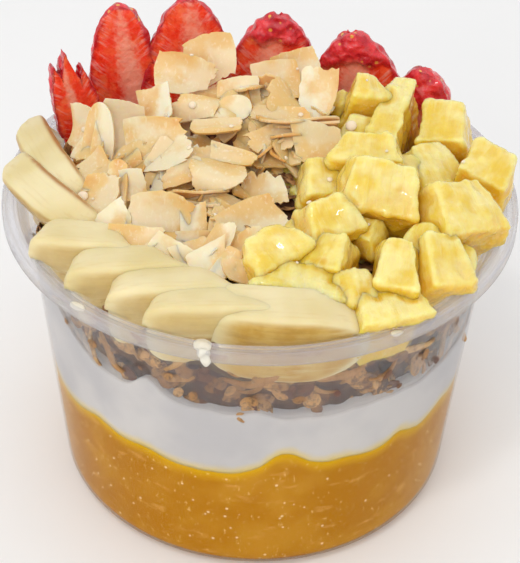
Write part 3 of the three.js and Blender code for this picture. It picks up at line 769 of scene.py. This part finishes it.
def cup():
    """The thin wall, its rounded foot, a stacking shoulder and the rolled flange."""
    top = CUP_HEIGHT
    bead = 0.55
    groove = top - 0.5
    skirt = top - SKIRT_DROP
    outside = [(0, 0.35), (CORNER_MIDDLE - 4, 0.35), (CORNER_MIDDLE - 2.4, 0)]
    outside += arc(CORNER_MIDDLE, BASE_CORNER, BASE_CORNER, -90, -5, 9)
    outside += [(wall_radius(h), h) for h in (8, 16, 24, 32, 40, 48, 56, 62, FLARE_FOOT - 5)]
    outside += [(wall_radius(FLARE_FOOT - 4.2) + 0.35, FLARE_FOOT - 4.2)]
    outside += [(wall_radius(FLARE_FOOT) + 0.35, FLARE_FOOT - 0.8)]
    outside += arc(RIM_INNER + 0.9, groove - 1.6, 1.1, 165, 95, 4)
    outside += [(RIM_RADIUS - 2 * WALL, groove - 0.5), (RIM_RADIUS - WALL - 0.2, groove - 0.9)]
    outside += [(RIM_RADIUS - WALL, skirt + 0.2), (RIM_RADIUS - WALL / 2, skirt)]
    outside += [(RIM_RADIUS, skirt + 0.25), (RIM_RADIUS, top - bead - 0.25)]
    over = arc(RIM_RADIUS - bead, top - bead, bead, 10, 150, 6)
    over += [(RIM_RADIUS - 1.7, groove), (RIM_INNER + 1.2, groove)]
    over += arc(RIM_INNER + 0.55, top - 0.45, 0.45, 40, 190, 6)
    inside = [(RIM_INNER - 0.9, top - 1.5), (inner_radius(FLARE_FOOT) + 0.35, FLARE_FOOT - 0.6)]
    inside += [(inner_radius(FLARE_FOOT - 4.2) + 0.3, FLARE_FOOT - 4.3)]
    inside += [(inner_radius(h), h) for h in (FLARE_FOOT - 5.2, 62, 56, 48, 40, 32, 24, 16, 8)]
    inside += arc(CORNER_MIDDLE, BASE_CORNER, BASE_CORNER - WALL, -5, -90, 8)
    inside += [(CORNER_MIDDLE - 3, WALL + 0.2), (0, WALL + 0.3)]
    bm = spun(outside + over + inside, 160)
    wall = clear_polypropylene(
        "clear_polypropylene_wall", clarity=0.99, rough=0.02, least=0.12, most=0.62,
    )
    flange = clear_polypropylene(
        "clear_polypropylene_flange", clarity=0.6, rough=0.1, least=0.4, most=0.85,
    )
    shell = piece("cup_shell", bm, wall, "clear_plastic", "cup")
    shell.data.materials.append(flange)
    for face in shell.data.polygons:
        face.material_index = int(face.center.z > (FLARE_FOOT - 0.5) * MM)


# ------------------------------------------------------------------ layers


def bumps(angle, waves):
    """The height of a layer's edge at an angle, from its waves."""
    total = 0.0
    for middle, width, height in waves:
        off = (angle - middle + 180) % 360 - 180
        total += height * math.exp(-((off / width) ** 2))
    return total


def puree_top(angle, radius):
    rough = 0.5 * noise.noise(on_circle(angle, 1, 0) * 14)
    edge = smoothstep(26, 50, radius)
    return PUREE_LEVEL + 1.5 + edge * (bumps(angle, PUREE_WAVES) - 1.5 + rough)


def yogurt_top(angle, radius):
    rough = 0.9 * noise.noise(on_circle(angle, 1, 3) * 9)
    edge = smoothstep(40, 50.5, radius)
    return YOGURT_LEVEL + 2 + edge * (bumps(angle, YOGURT_WAVES) - 2 + rough)


def granola_top(angle, radius):
    middle, width, depth, start = SEAT
    seat = smoothstep(start, 49, radius) * bumps(angle, [(middle, width, depth)])
    return GRANOLA_EDGE + GRANOLA_CROWN * (1 - (radius / 51) ** 2) - seat


def layer(bottom, top, reach, name, value_at):
    """A closed layer between two height functions, out to reach(height). Its vertices carry
    value_at(angle, radius, height) under a name."""
    across = [i / 14 for i in range(15)]
    up = [i / 24 for i in range(1, 24)]
    profile = [(share, 0) for share in across]
    profile += [(1, share) for share in up]
    profile += [(share, 1) for share in reversed(across)]
    bm = spun(profile, 200)
    values = []
    for vert in bm.verts:
        angle = math.degrees(math.atan2(vert.co.y, vert.co.x))
        share = math.hypot(vert.co.x, vert.co.y)
        guess = share * 50
        low, high = bottom(angle, guess), top(angle, guess)
        z = low + vert.co.z * (high - low)
        vert.co = on_circle(angle, share * reach(z), z)
        values.append(value_at(angle, guess, z))
    carry(bm, name, values)
    return bm


def fillings():
    """The puree and the yogurt over it."""
    def into_wall(height):
        return cavity_radius(height) + SINK

    def floor(angle, radius):
        return WALL - SINK

    def from_puree(angle, radius, height):
        return abs(height - puree_top(angle, radius))

    puree = layer(floor, puree_top, into_wall, "below", from_puree)
    piece("puree_fill", puree, fruit_puree(), "fruit_puree", "puree")
    yogurt = layer(puree_top, yogurt_top, into_wall, "above", from_puree)
    # The fill's greys are painted shade: the yogurt is white, darkened where it lies shaded behind
    # the wall.
    finish = plain_yogurt("stirred_yogurt", "#C3C0C0", "#D2CECB")
    piece("yogurt_fill", yogurt, finish, "yogurt", "yogurt")


# ------------------------------------------------------------------ granola


def oat_template(seed):
    """A rolled oat at full size: a flat oval with a crease along it and an uneven rim."""
    bm = bmesh.new()
    bmesh.ops.create_uvsphere(bm, u_segments=12, v_segments=6, radius=1)
    for vert in bm.verts:
        x, y, z = vert.co
        rim = 1 + 0.16 * noise.noise(Vector((2.2 * x, 2.2 * y, seed)))
        crease = 0.55 * math.exp(-((y / 0.16) ** 2)) * (1 - x * x)
        bend = 0.9 * noise.noise(Vector((1.3 * x, 1.3 * y, seed + 7)))
        vert.co = (x * rim, y * rim, z * 0.9 - crease * (1 if z > 0 else -0.4) + bend)
    bm.transform(Matrix.Diagonal((OAT[0] / 2, OAT[1] / 2, OAT[2] / 2, 1)))
    return as_mesh("oat", bm)


def crumb_template(seed):
    """A lump of crumbs stuck together, about two units across."""
    bm = bmesh.new()
    bmesh.ops.create_icosphere(bm, subdivisions=3, radius=1)
    for vert in bm.verts:
        knob = 0.3 * noise.noise(vert.co * 1.5 + Vector((seed, 0, 0)))
        knob += 0.16 * noise.noise(vert.co * 4 + Vector((0, seed, 0)))
        vert.co *= 1 + knob
    return as_mesh("crumb", bm)


def shred_template(seed):
    """A thin curved shred, 12 mm long before it is scaled."""
    bm = bmesh.new()
    bmesh.ops.create_grid(bm, x_segments=10, y_segments=2, size=1)
    for vert in bm.verts:
        x, y, _ = vert.co
        bend = 2.2 * x * x + 0.8 * noise.noise(Vector((1.6 * x, seed, 0)))
        vert.co = (6 * x, 0.9 * y * (1 - 0.6 * x * x) + bend, 0.8 * math.sin(2.2 * x + seed))
    bmesh.ops.solidify(bm, geom=bm.faces[:], thickness=0.5)
    bmesh.ops.recalc_face_normals(bm, faces=bm.faces)
    return as_mesh("shred", bm)


def against_wall(draw, count, low, high, depth, thick, lean):
    """Places for things pressed to the wall, from low over the yogurt up to high and to depth
    within it: the matrix of each, its flat side outwards but for a lean of so many degrees."""
    places = []
    for i in range(count):
        angle = 360 * (i * GOLDEN_SHARE % 1) + draw.uniform(-3, 3)
        share = (i + 0.5) / count
        foot = yogurt_top(angle, 50) + low
        height = foot + (high - foot) * ((share * 7.3) % 1)
        if foot > high:
            continue
        tilt = draw.uniform(-lean, lean)
        reach = cavity_radius(height) + SINK - thick / 2 - abs(math.sin(math.radians(tilt))) * 3
        at = on_circle(angle, reach - draw.uniform(0, depth), height)
        turns = (90 + tilt, draw.uniform(-70, 70), angle + 90 + draw.uniform(-9, 9))
        places.append(setting(at, turns))
    return places


def oats(draw):
    """Rolled oats against the wall, small ones pressed right into it, and oats on top."""
    shapes = [oat_template(3.1 * i) for i in range(5)]
    places = []
    spread = against_wall(
        draw, WALL_OATS, low=-2.5, high=70.5, depth=CORE_GAP, thick=OAT[2], lean=38,
    )
    for matrix in spread:
        size = 0.36 + 0.6 * draw.random() ** 1.4
        places.append((draw.randrange(5), matrix @ Matrix.Scale(size, 4), draw.random()))
    close = against_wall(draw, CLOSE_OATS, low=-1.2, high=60, depth=0, thick=0, lean=8)
    for matrix in close[::3]:
        size = draw.uniform(0.16, 0.42)
        x, y, _ = PUSHED_OUT * matrix.translation
        matrix = Matrix.Translation((x, y, 0)) @ matrix @ Matrix.Scale(size, 4)
        places.append((draw.randrange(5), matrix, draw.random()))
    for angle, radius in over_disc(TOP_OATS, reach=49.5):
        height = granola_top(angle, radius) + draw.uniform(-0.4, 1.0)
        turns = (draw.uniform(-40, 40), draw.uniform(-40, 40), draw.uniform(0, 360))
        size = draw.uniform(0.45, 1.0)
        matrix = setting(on_circle(angle, radius, height), turns) @ Matrix.Scale(size, 4)
        places.append((draw.randrange(5), matrix, draw.random()))
    flakes = rolled_oats("rolled_oats", "#D8A668", "#643822", "#4A2816")
    scattered("granola_oats", flakes, "granola", shapes, places)


def clusters(draw, finish):
    """Lumps of crumbs against the wall and on top."""
    shapes = [crumb_template(2.3 * i) for i in range(4)]
    places = []
    spread = against_wall(draw, WALL_CLUSTERS, low=0.5, high=69, depth=1.0, thick=4.0, lean=40)
    for matrix in spread:
        size = [draw.uniform(1.4, 3.4), draw.uniform(1.2, 2.6), draw.uniform(1.2, 2.0)]
        places.append((draw.randrange(4), matrix @ Matrix.Diagonal(size + [1]), draw.random()))
    for angle, radius in over_disc(TOP_CLUSTERS, reach=47):
        at = on_circle(angle, radius, granola_top(angle, radius))
        matrix = setting(at, (0, 0, draw.uniform(0, 360)))
        number = draw.randrange(4)
        size = draw.uniform(1.2, 2.4)
        places.append((number, matrix @ Matrix.Scale(size, 4), draw.random()))
    scattered("granola_clusters", finish, "granola", shapes, places)


def shreds(draw):
    """Curved shreds of husk against the wall."""
    shapes = [shred_template(1.9 * i) for i in range(4)]
    places = []
    spread = against_wall(draw, WALL_SHREDS, low=-1.0, high=69, depth=0.5, thick=1.2, lean=20)
    for matrix in spread:
        number = draw.randrange(4)
        size = draw.uniform(0.6, 1.1)
        places.append((number, matrix @ Matrix.Scale(size, 4), draw.random()))
    husk = rolled_oats("oat_husks", "#DDB274", "#B07E48", "#9A6834")
    scattered("granola_shreds", husk, "granola", shapes, places)


def granola():
    """The granola's plain core, and what lies over it."""
    draw = random.Random(11)
    core = layer(
        lambda angle, radius: YOGURT_LEVEL - 6,
        lambda angle, radius: granola_top(angle, radius) - 0.8,
        lambda height: cavity_radius(height) - CORE_GAP,
        "shade", lambda angle, radius, height: 0.6,
    )
    swell(core, lambda vert: 1.1 * ripple(vert.co, 4) + 0.5 * ripple(vert.co, 1.7))
    # Dark brown crumbs, which on the core are also painted shade down in the gaps between the oats.
    crumbs = rolled_oats("granola_crumbs_and_gap_shade", "#74482A", "#26140E", "#3C200E")
    piece("granola_core", core, crumbs, "granola", "granola")
    oats(draw)
    clusters(draw, crumbs)
    shreds(draw)


# ------------------------------------------------------------------ fruit


def inside_rim(co):
    """Presses a point of a fruit back to the cup's wall, or over the rim to the rim's edge."""
    limit = cavity_radius(co.z) - 0.2 if co.z < CUP_HEIGHT + 0.3 else RIM_RADIUS
    radius = math.hypot(co.x, co.y)
    if radius > limit:
        co.x, co.y = co.x * limit / radius, co.y * limit / radius


def kept_inside(bm):
    """Presses a whole fruit back to the cup's wall."""
    for vert in bm.verts:
        inside_rim(vert.co)
    bm.normal_update()


def power(value, exponent):
    """A power that keeps the value's sign."""
    return math.copysign(abs(value) ** exponent, value)


def slice_square(number, across):
    """How square a slice's outline is at one side: the fanned ones have square left
    shoulders, and the front one is round at its right."""
    if number in FANNED:
        return 0.5
    if number == 0:
        return 0.5 + 0.4 * smoothstep(-0.5, 0.5, across)
    return BANANA_SQUARE


def slanted(number, across, back):
    """How far the ends of a bias-cut slice slope from its front face to its back."""
    if number not in FANNED:
        return 0.0
    right = RIGHT_END[0] + back * (RIGHT_END[1] - RIGHT_END[0])
    return back * LEFT_END * max(0.0, -across) ** 1.5 + right * max(0.0, across) ** 1.5


def bananas():
    """The slices, each a soft oval or rectangle cut on a slant, with its two cut faces."""
    finish = banana_flesh()
    for i, (x, y, z, heading, lean, roll, length, height, thick, bow) in enumerate(BANANAS):
        bm = bmesh.new()
        bmesh.ops.create_uvsphere(
            bm, u_segments=96, v_segments=64, radius=1, matrix=Matrix.Rotation(math.pi / 2, 4, "X"),
        )
        own_place = bm.verts.layers.float_vector.new("own")
        face, brown_seam = stores(bm, "face", "brown_seam")
        fanned = i in FANNED
        edge = 0.42 if fanned else 0.32  # 1 rounds the rims of the cut faces fully
        for vert in bm.verts:
            side = vert.co.y
            ring = math.sqrt(max(0.0, 1 - side * side))
            angle = math.atan2(vert.co.z, vert.co.x)
            reach = ring ** edge
            square = slice_square(i, vert.co.x)
            across = reach * power(math.cos(angle), square)
            up = reach * power(math.sin(angle), square)
            out = power(side, edge)
            vert[own_place] = (across, out, up)
            inner = 1 - smoothstep(0.93, 1.0, reach)
            # The cut face's gold is partly the flesh's tone and partly painted shade, kept off the
            # slice's left end, which the light reaches.
            golden_and_shaded = smoothstep(0.8, 0.97, abs(out)) * inner * smoothstep(-0.97, -0.6, across)
            vert[face] = golden_and_shaded * (0.5 if fanned else 1.0)
            # The creased slices get a brown band along the inner top edge.
            seam = math.exp(-(((out - 0.8) / 0.12) ** 2)) * smoothstep(0.5, 0.9, up)
            vert[brown_seam] = seam if i in CREASED else 0.0
            overlap = TUCKED * smoothstep(0, 1, out) if i < CREASED[0] else 0.0
            vert.co = (
                across * length / 2 + slanted(i, across, (out + 1) / 2),
                out * thick / 2 + overlap + bow * across * across,
                up * height / 2,
            )
        bm.normal_update()

        def plump(vert):
            across, out, up = vert[own_place]
            dip = -0.3 * smoothstep(0.6, 1, abs(out)) * math.exp(-((up / 0.35) ** 2))
            return dip + 0.25 * ripple(vert.co, 7, i) + 0.1 * ripple(vert.co, 1.8, i)

        swell(bm, plump)
        tilt = math.radians(lean)
        bm.transform(setting((x, y, z), (-lean, roll, heading)))
        for vert in bm.verts:
            across, out, up = vert[own_place]
            if fanned:
                own_top = z + math.cos(tilt) * height / 2 - math.sin(tilt) * out * thick / 2
                own_top -= math.sin(tilt) * TUCKED * smoothstep(0, 1, out)
                level = smoothstep(0.2, 0.8, up) * smoothstep(-1.25, -0.85, across)
                step = 0.7 * smoothstep(-0.2, 0.9, out)
                wavy = 0.35 * ripple((vert.co.x, vert.co.y, 0), 9)
                vert.co.z += level * (FAN_TOP + wavy - step - own_top)
            inside_rim(vert.co)
        name = f"banana_{i + 1}"
        piece(f"{name}_slice", bm, finish, "banana_flesh", name)


def berry_width(share, blunt):
    """Half the width of a berry at a share of its height, foot to tip, as a share."""
    cone = max(0.0, 1 - share ** 1.7) ** 0.6
    round_tip = math.sqrt(max(0.0, 1 - share ** 2.6)) * (0.86 + 0.3 * share - 0.2 * share ** 2)
    return cone + blunt * (round_tip - cone)


def strawberries():
    """The halves, each with a flat cut face in front and a skin behind."""
    finish = strawberry_flesh()
    rows = enumerate(STRAWBERRIES)
    for i, (x, y, z, heading, lean, roll, width, height, depth, blunt) in rows:
        whole_from = UNCUT_FROM[i]
        bm = bmesh.new()
        bmesh.ops.create_uvsphere(bm, u_segments=120, v_segments=90, radius=1)
        grain = bm.verts.layers.float_vector.new("grain")
        skin, band, rim = stores(bm, "skin", "band", "rim")
        band_foot, band_top, band_width = BANDS[i]
        for vert in bm.verts:
            share = (vert.co.z + 1) / 2
            turn = math.atan2(vert.co.y, vert.co.x)
            reach = berry_width(share, blunt) * min(1, share / 0.02)
            across = reach * math.cos(turn) * width / 2
            back = reach * math.sin(turn) * depth
            if back < -CUT_FACE:
                back = -CUT_FACE
                across = reach * power(math.cos(turn), 0.7) * width / 2
            line = whole_from - 0.25 * (across / width) ** 2 + 0.1 * ripple((across, back, 0), 5, i)
            tip = smoothstep(line - 0.06, line + 0.06, share)
            vert[skin] = max(tip, smoothstep(-CUT_FACE, -CUT_FACE + 0.6, back))
            up = share * height
            if i == 0:
                for offset, deep in NICKS:
                    off = abs(across - offset) / NICK_WIDTH
                    floor = height - deep * max(0.0, 1 - off)
                    up = min(up, floor + 0.15 * (up - floor)) if off < 1 else up
            side = across / (0.5 * width * max(0.05, berry_width(share, blunt)))
            edge = abs(side)
            middle = band_foot + (band_top - band_foot) * share
            vert[band] = math.exp(-(((side - middle) / band_width) ** 2)) * (1 - 0.5 * share)
            vert[rim] = max(edge, smoothstep(0.86, 1.0, share))
            vert[grain] = (across, up - 0.8 * abs(across), 7.0 * i)
            vert.co = (across, back - 1.6 * tip * (1 - edge * edge), up)
        bm.normal_update()

        def dimples(vert):
            edged = 0.25 + 0.75 * max(vert[skin], smoothstep(0.7, 1.0, vert[rim]))
            return edged * (0.7 * ripple(vert.co, 3.4, i) + 0.4 * ripple(vert.co, 1.7, i))

        swell(bm, dimples)
        bm.transform(setting((x, y, z), (-lean, roll, heading)))
        kept_inside(bm)
        name = f"strawberry_{i + 1}"
        piece(f"{name}_half", bm, finish, "strawberry_flesh", name)


def pineapples():
    """The chunks and the bits between them; returns the chunks."""
    finish = pineapple_flesh()
    chunks = []
    for i, (x, y, top, _, _, heading, tip, roll) in enumerate(PINEAPPLES):
        bm = whole_node(f"pineapple_{i + 1}", voxel=0.5)
        upright = setting((x, y, top - CHUNK_MIDDLE), (tip, roll, heading)).inverted()
        store = bm.verts.layers.float_vector.new("own")
        for vert in bm.verts:
            vert[store] = upright @ vert.co

        def lumpy(vert):
            local = Vector(vert[store])
            lumps = 0.9 * ripple(local, 8, i) + 0.6 * ripple(local, 3.6, i)
            strands = ripple((local.x, local.y / 6, local.z), 1.6, i)
            return 0.5 + lumps + 0.15 * ripple(local, 1.8, i) + 0.25 * strands

        swell(bm, lumpy)
        kept_inside(bm)
        chunks.append((Vector((x, y, top)), bm))

    trees = [BVHTree.FromBMesh(bm) for _, bm in chunks]
    made = []
    for i, (middle, bm) in enumerate(chunks):
        apart = [(other - middle).length for other, _ in chunks]
        near = [tree for tree, length in zip(trees, apart) if 0 < length < REACH]
        low, ridge_highlight = stores(bm, "low", "ridge_highlight")
        peak = max(vert.co.z for vert in bm.verts)
        for vert in bm.verts:
            # The low share is painted shade: the chunk's sides, its lower part and where it touches
            # the next chunk.
            drop = smoothstep(1, 9, peak - vert.co.z)
            steep = 0.5 * drop + 0.5 * (1 - max(0.0, vert.normal.z))
            found = [tree.find_nearest(vert.co, MEETING)[3] for tree in near]
            gap = min([MEETING] + [length for length in found if length is not None])
            vert[low] = max(steep, 1 - smoothstep(0, MEETING, gap))
            # The ridge share is a painted highlight on convex, upward-facing edges.
            around = [edge.other_vert(vert).co for edge in vert.link_edges]
            bulge = (vert.co - sum(around, Vector()) / len(around)).dot(vert.normal)
            upwards = smoothstep(-0.1, 0.4, vert.normal.z)
            vert[ridge_highlight] = 0.35 * smoothstep(0.015, 0.06, bulge) * upwards
        name = f"pineapple_{i + 1}"
        made.append(piece(f"{name}_chunk", bm, finish, "pineapple_flesh", name))
    pineapple_bits(finish)
    return made


def pineapple_bits(finish):
    """Small torn bits down between the chunks."""
    draw = random.Random(3)
    lumps = [crumb_template(1.7 * i) for i in range(4)]
    places = []
    taken = []
    for x, y, top, width, depth, *_ in PINEAPPLES:
        for _ in range(BITS):
            spot = (x + draw.uniform(-0.6, 0.6) * width, y + draw.uniform(-0.6, 0.6) * depth)
            crowded = any(math.dist(spot, other) < BIT_SPACING for other in taken)
            if math.hypot(*spot) > BITS_WITHIN or spot[0] < BITS_FROM or crowded:
                continue
            taken.append(spot)
            turns = [draw.uniform(0, 360) for _ in range(3)]
            size = [draw.uniform(2.6, 4.2) for _ in range(3)]
            matrix = setting((*spot, top - CHUNK_MIDDLE), turns) @ Matrix.Diagonal(size + [1])
            # Each bit carries a share of the painted shade as its low value.
            places.append((draw.randrange(4), matrix, draw.uniform(0.3, 0.6)))
    scattered("pineapple_bits", finish, "pineapple_flesh", lumps, places, mark="low")


# ------------------------------------------------------------------ coconut


def ragged(along, seed):
    """The torn line of a side, from about -1 to 1."""
    slow = noise.noise(Vector((1.9 * along, seed, 0)))
    quick = noise.noise(Vector((5.5 * along, seed + 3, 0)))
    tooth = noise.noise(Vector((14 * along, seed + 6, 0)))
    return slow + 0.8 * quick + 0.5 * tooth


def chip(draw, width, length, curl, petal, cells):
    """A thin bent shaving lying flat: an uneven four-sided plate with some sides smooth and
    others torn, or with petal near 1 a smooth oval."""
    bm = bmesh.new()
    bmesh.ops.create_grid(bm, x_segments=cells, y_segments=cells, size=1)
    toast, under = stores(bm, "toast", "under")
    seed = draw.uniform(0, 90)
    skew = [(draw.uniform(-0.45, 0.15), draw.uniform(-0.45, 0.15)) for _ in CORNERS]
    torn = [draw.choice(TORN) * (1 - petal) for _ in CORNERS]
    bulge = [draw.uniform(*BULGE) for _ in CORNERS]
    bend = draw.uniform(-0.9, 0.9)
    browning = draw.uniform(0, 2 * math.pi)
    cross_bend = draw.uniform(-0.4, 0.8)
    for vert in bm.verts:
        x, y, _ = vert.co
        at_x = at_y = 0.0
        for (cx, cy), (dx, dy) in zip(CORNERS, skew):
            weight = (1 + cx * x) * (1 + cy * y) / 4
            at_x += weight * cx * (1 + dx)
            at_y += weight * cy * (1 + dy)
        side_x, side_y = (1 if x > 0 else 0), (3 if y > 0 else 2)
        tear_x = torn[side_x] * ragged(y, seed + 9 * side_x) + bulge[side_x] * (0.5 - y * y)
        tear_y = torn[side_y] * ragged(x, seed + 9 * side_y) + bulge[side_y] * (0.5 - x * x)
        at_x += math.copysign(abs(x) ** 3, x) * tear_x
        at_y += math.copysign(abs(y) ** 3, y) * tear_y
        oval_x, oval_y = x * math.sqrt(1 - y * y / 2), y * math.sqrt(1 - x * x / 2)
        at_x += petal * (oval_x - at_x)
        at_y += petal * (oval_y - at_y)
        along = at_y * math.cos(bend) + at_x * math.sin(bend)
        across = at_x * math.cos(bend) - at_y * math.sin(bend)
        vert[toast] = (
            0.3 + 0.5 * (at_x * math.cos(browning) + at_y * math.sin(browning))
            + 0.6 * noise.noise(Vector((0.9 * x, 0.9 * y, seed + 9)))
        )
        wave = 0.35 * noise.noise(Vector((1.3 * x, 1.3 * y, seed + 5)))
        vert.co = (
            at_x * width / 2,
            at_y * length / 2,
            curl * (along * along - 0.4) + cross_bend * (across * across - 0.4) + wave
            + 0.4 * curl * math.sin(2.2 * along + seed),
        )
    outer = set(bm.verts)
    bmesh.ops.solidify(bm, geom=bm.faces[:], thickness=CHIP_THICK)
    bmesh.ops.recalc_face_normals(bm, faces=bm.faces)
    # The inner side carries half a share of painted shade.
    for vert in bm.verts:
        vert[under] = 0.0 if vert in outer else 0.5
    for edge in bm.edges:
        edge.smooth = edge.calc_face_angle() < 0.7
    return bm


def heap_place(lump, angle, share, lift):
    """A point over a lump of the heap, share of the way out to its side."""
    middle, half = lump
    unit = (share * math.cos(angle), share * math.sin(angle), math.sqrt(1 - share * share))
    return [c + (h + lift) * u for c, h, u in zip(middle, half, unit)]


def coconut():
    """The core and the shavings over it; returns the shavings."""
    draw = random.Random(29)
    core = bmesh.new()
    for middle, half in LUMPS:
        size = [h - CORE_GAP for h in half]
        matrix = Matrix.Translation(middle) @ Matrix.Diagonal(size + [1])
        bmesh.ops.create_icosphere(core, subdivisions=5, radius=1, matrix=matrix)
    swell(core, lambda vert: 1.2 * ripple(vert.co, 3) + 0.7 * ripple(vert.co, 1.3))
    # The core's deep brown is partly painted shade in the gaps between the shavings.
    piece("coconut_core", core, coconut_crumbs_and_gap_shade(), "toasted_coconut", "coconut")

    finish = toasted_coconut()
    chosen = [
        (row, 0.95 if number in PETALS else draw.uniform(0, 0.12), 0.0)
        for number, row in enumerate(CHIPS + STACK)
    ]
    chosen += [(row, 0.05, 0.0) for row in LOW]
    chips = coconut_heap("coconut_chips", draw, finish, chosen, 18)
    filling = []
    for lump, count in zip(LUMPS, FILLED):
        for i in range(count):
            angle = FILL_TURN * i
            share = 0.98 * math.sqrt((i + 0.5) / count)
            sunk = draw.uniform(1.0, 4.0)
            row = heap_place(lump, angle, share, -sunk) + [
                math.degrees(angle) + 90 + draw.uniform(-30, 30), draw.uniform(40, 85),
                draw.uniform(0, 360), draw.uniform(5, 11), draw.uniform(7, 13),
                draw.uniform(-1.5, 1.5),
            ]
            # The deeper a sliver is sunk, the more painted shade it gets.
            filling.append((row, draw.choice((0, 0.05, 0.15)), 0.25 * sunk))
    return [chips, coconut_heap("coconut_slivers", draw, finish, filling, 9)]


def coconut_heap(name, draw, finish, rows, cells):
    """Chips as one mesh. Each row is its place and size, its roundness and how deep in the
    heap it lies, which gives it painted shade: a deeper orange and a darker tone."""
    heap = bmesh.new()
    shades = []
    for (x, y, z, compass, height, spin, width, length, curl), petal, deep in rows:
        one = chip(draw, LARGER * width, LARGER * length, CURLIER * curl, petal, cells)
        toast = one.verts.layers.float["toast"]
        # Chips deeper in the heap turn more orange: painted shade.
        for vert in one.verts:
            vert[toast] += 0.45 * deep
        turn = setting((x, y, z), (90 - height, 0, compass))
        one.transform(turn @ Matrix.Rotation(math.radians(spin), 4, "Z"))
        mesh = as_mesh("chip", one)
        heap.from_mesh(mesh)
        # A darker tone: partly random, partly painted shade by depth in the heap.
        shades += [min(1.0, 0.3 * deep + 0.7 * draw.random())] * len(mesh.vertices)
        bpy.data.meshes.remove(mesh)
    carry(heap, "shade", shades)
    return piece(name, heap, finish, "toasted_coconut")


# ------------------------------------------------------------------ smears and drops


def smears():
    """Small smears and a drip of yogurt on the rim."""
    bm = bmesh.new()
    for angle, radius, height, *half in SMEARS:
        turn = Matrix.Rotation(math.radians(angle + 90), 4, "Z")
        matrix = Matrix.Translation(on_circle(angle, radius, height)) @ turn
        matrix = matrix @ Matrix.Diagonal(half + [1])
        bmesh.ops.create_icosphere(bm, subdivisions=4, radius=1, matrix=matrix)
    bm.normal_update()
    swell(bm, lambda vert: 0.35 * ripple(vert.co, 1.8))
    carry(bm, "above", [UNSTAINED] * len(bm.verts))
    piece("yogurt_smears", bm, plain_yogurt("yogurt_smear", "#DFD8C8", "#E9E3D4"), "yogurt")


def juice_drops(rest_on):
    """Milky drops that sit on the topmost surface of the toppings, a few large ones and
    small ones scattered between."""
    draw = random.Random(5)
    surface = bmesh.new()
    for made in rest_on:
        surface.from_mesh(made.data)
    tree = BVHTree.FromBMesh(surface)
    surface.free()
    bm = bmesh.new()
    spots = list(DROP_BALLS)
    for angle, radius in over_disc(DROPS, DROPS_WITHIN):
        x, y, _ = on_circle(angle, radius, 0)
        spots.append((x, y, draw.uniform(0.3, 0.65)))
    for x, y, size in spots:
        hit, normal, _, _ = tree.ray_cast(Vector((x, y, 120)) * MM, Vector((0, 0, -1)))
        if hit is None or hit.z < DROPS_ABOVE * MM or normal.z < 0.35:
            continue
        at = hit / MM + normal * size * 0.35
        lean = normal.to_track_quat("Z", "Y").to_matrix().to_4x4()
        matrix = Matrix.Translation(at) @ lean @ Matrix.Diagonal((size, size, 0.6 * size, 1))
        bmesh.ops.create_icosphere(bm, subdivisions=3, radius=1, matrix=matrix)
    piece("juice_drops", bm, fruit_juice(), "yogurt")


# ------------------------------------------------------------------ surroundings

CAMERA_TARGET = (0.43, 0, 48.17)  # mm
CAMERA_DISTANCE = 405.0
CAMERA_ELEVATION = 38.16  # degrees
CAMERA_ROLL = 1.5
FOCAL_LENGTH = 109.1  # mm, on a sensor 36 mm long
LIT = (0, 0, 0.06)  # where the lights point, in metres as their own places are


def camera():
    data = bpy.data.cameras.new("view")
    data.sensor_width = 36
    data.lens = FOCAL_LENGTH
    data.clip_start = 0.01
    made = link("view", data)
    turn = math.radians(CAMERA_ELEVATION)
    back = Vector((0, -math.cos(turn), math.sin(turn))) * CAMERA_DISTANCE
    made.matrix_world = (
        Matrix.Translation((Vector(CAMERA_TARGET) + back) * MM)
        @ Matrix.Rotation(math.pi / 2 - turn, 4, "X")
        @ Matrix.Rotation(math.radians(CAMERA_ROLL), 4, "Z")
    )
    bpy.context.scene.camera = made


def area_light(name, at, size, power, colour):
    """A square soft light that faces the middle of the bowl."""
    data = bpy.data.lights.new(name, "AREA")
    data.size = size
    data.energy = power
    data.color = linear(colour)[:3]
    made = link(name, data)
    towards = (Vector(LIT) - Vector(at)).to_track_quat("-Z", "Y")
    made.matrix_world = Matrix.Translation(at) @ towards.to_matrix().to_4x4()


def studio():
    world = bpy.data.worlds.new("studio")
    world.use_nodes = True
    background = world.node_tree.nodes["Background"]
    background.inputs["Color"].default_value = linear("#FFFFFF")
    background.inputs["Strength"].default_value = 0.82
    bpy.context.scene.world = world
    area_light("overhead", (-0.2, -0.56, 0.46), 0.5, 1.3, "#FFFCF6")
    area_light("glint", (-0.12, -0.3, 0.66), 0.06, 0.6, "#FFFFFF")
    area_light("back_fill", (0.2, 0.4, 0.6), 0.5, 0.35, "#FFFFFF")
    bm = bmesh.new()
    bmesh.ops.create_grid(bm, x_segments=2, y_segments=2, size=3)
    mesh = as_mesh("floor", bm)
    mesh.materials.append(pale_floor())
    floor = link("floor", mesh)
    bpy.context.scene.view_settings.view_transform = "Standard"


# ------------------------------------------------------------------ the bowl

camera()
studio()
cup()
fillings()
granola()
bananas()
strawberries()
chunks = pineapples()
shavings = coconut()
smears()
juice_drops(chunks + shavings)
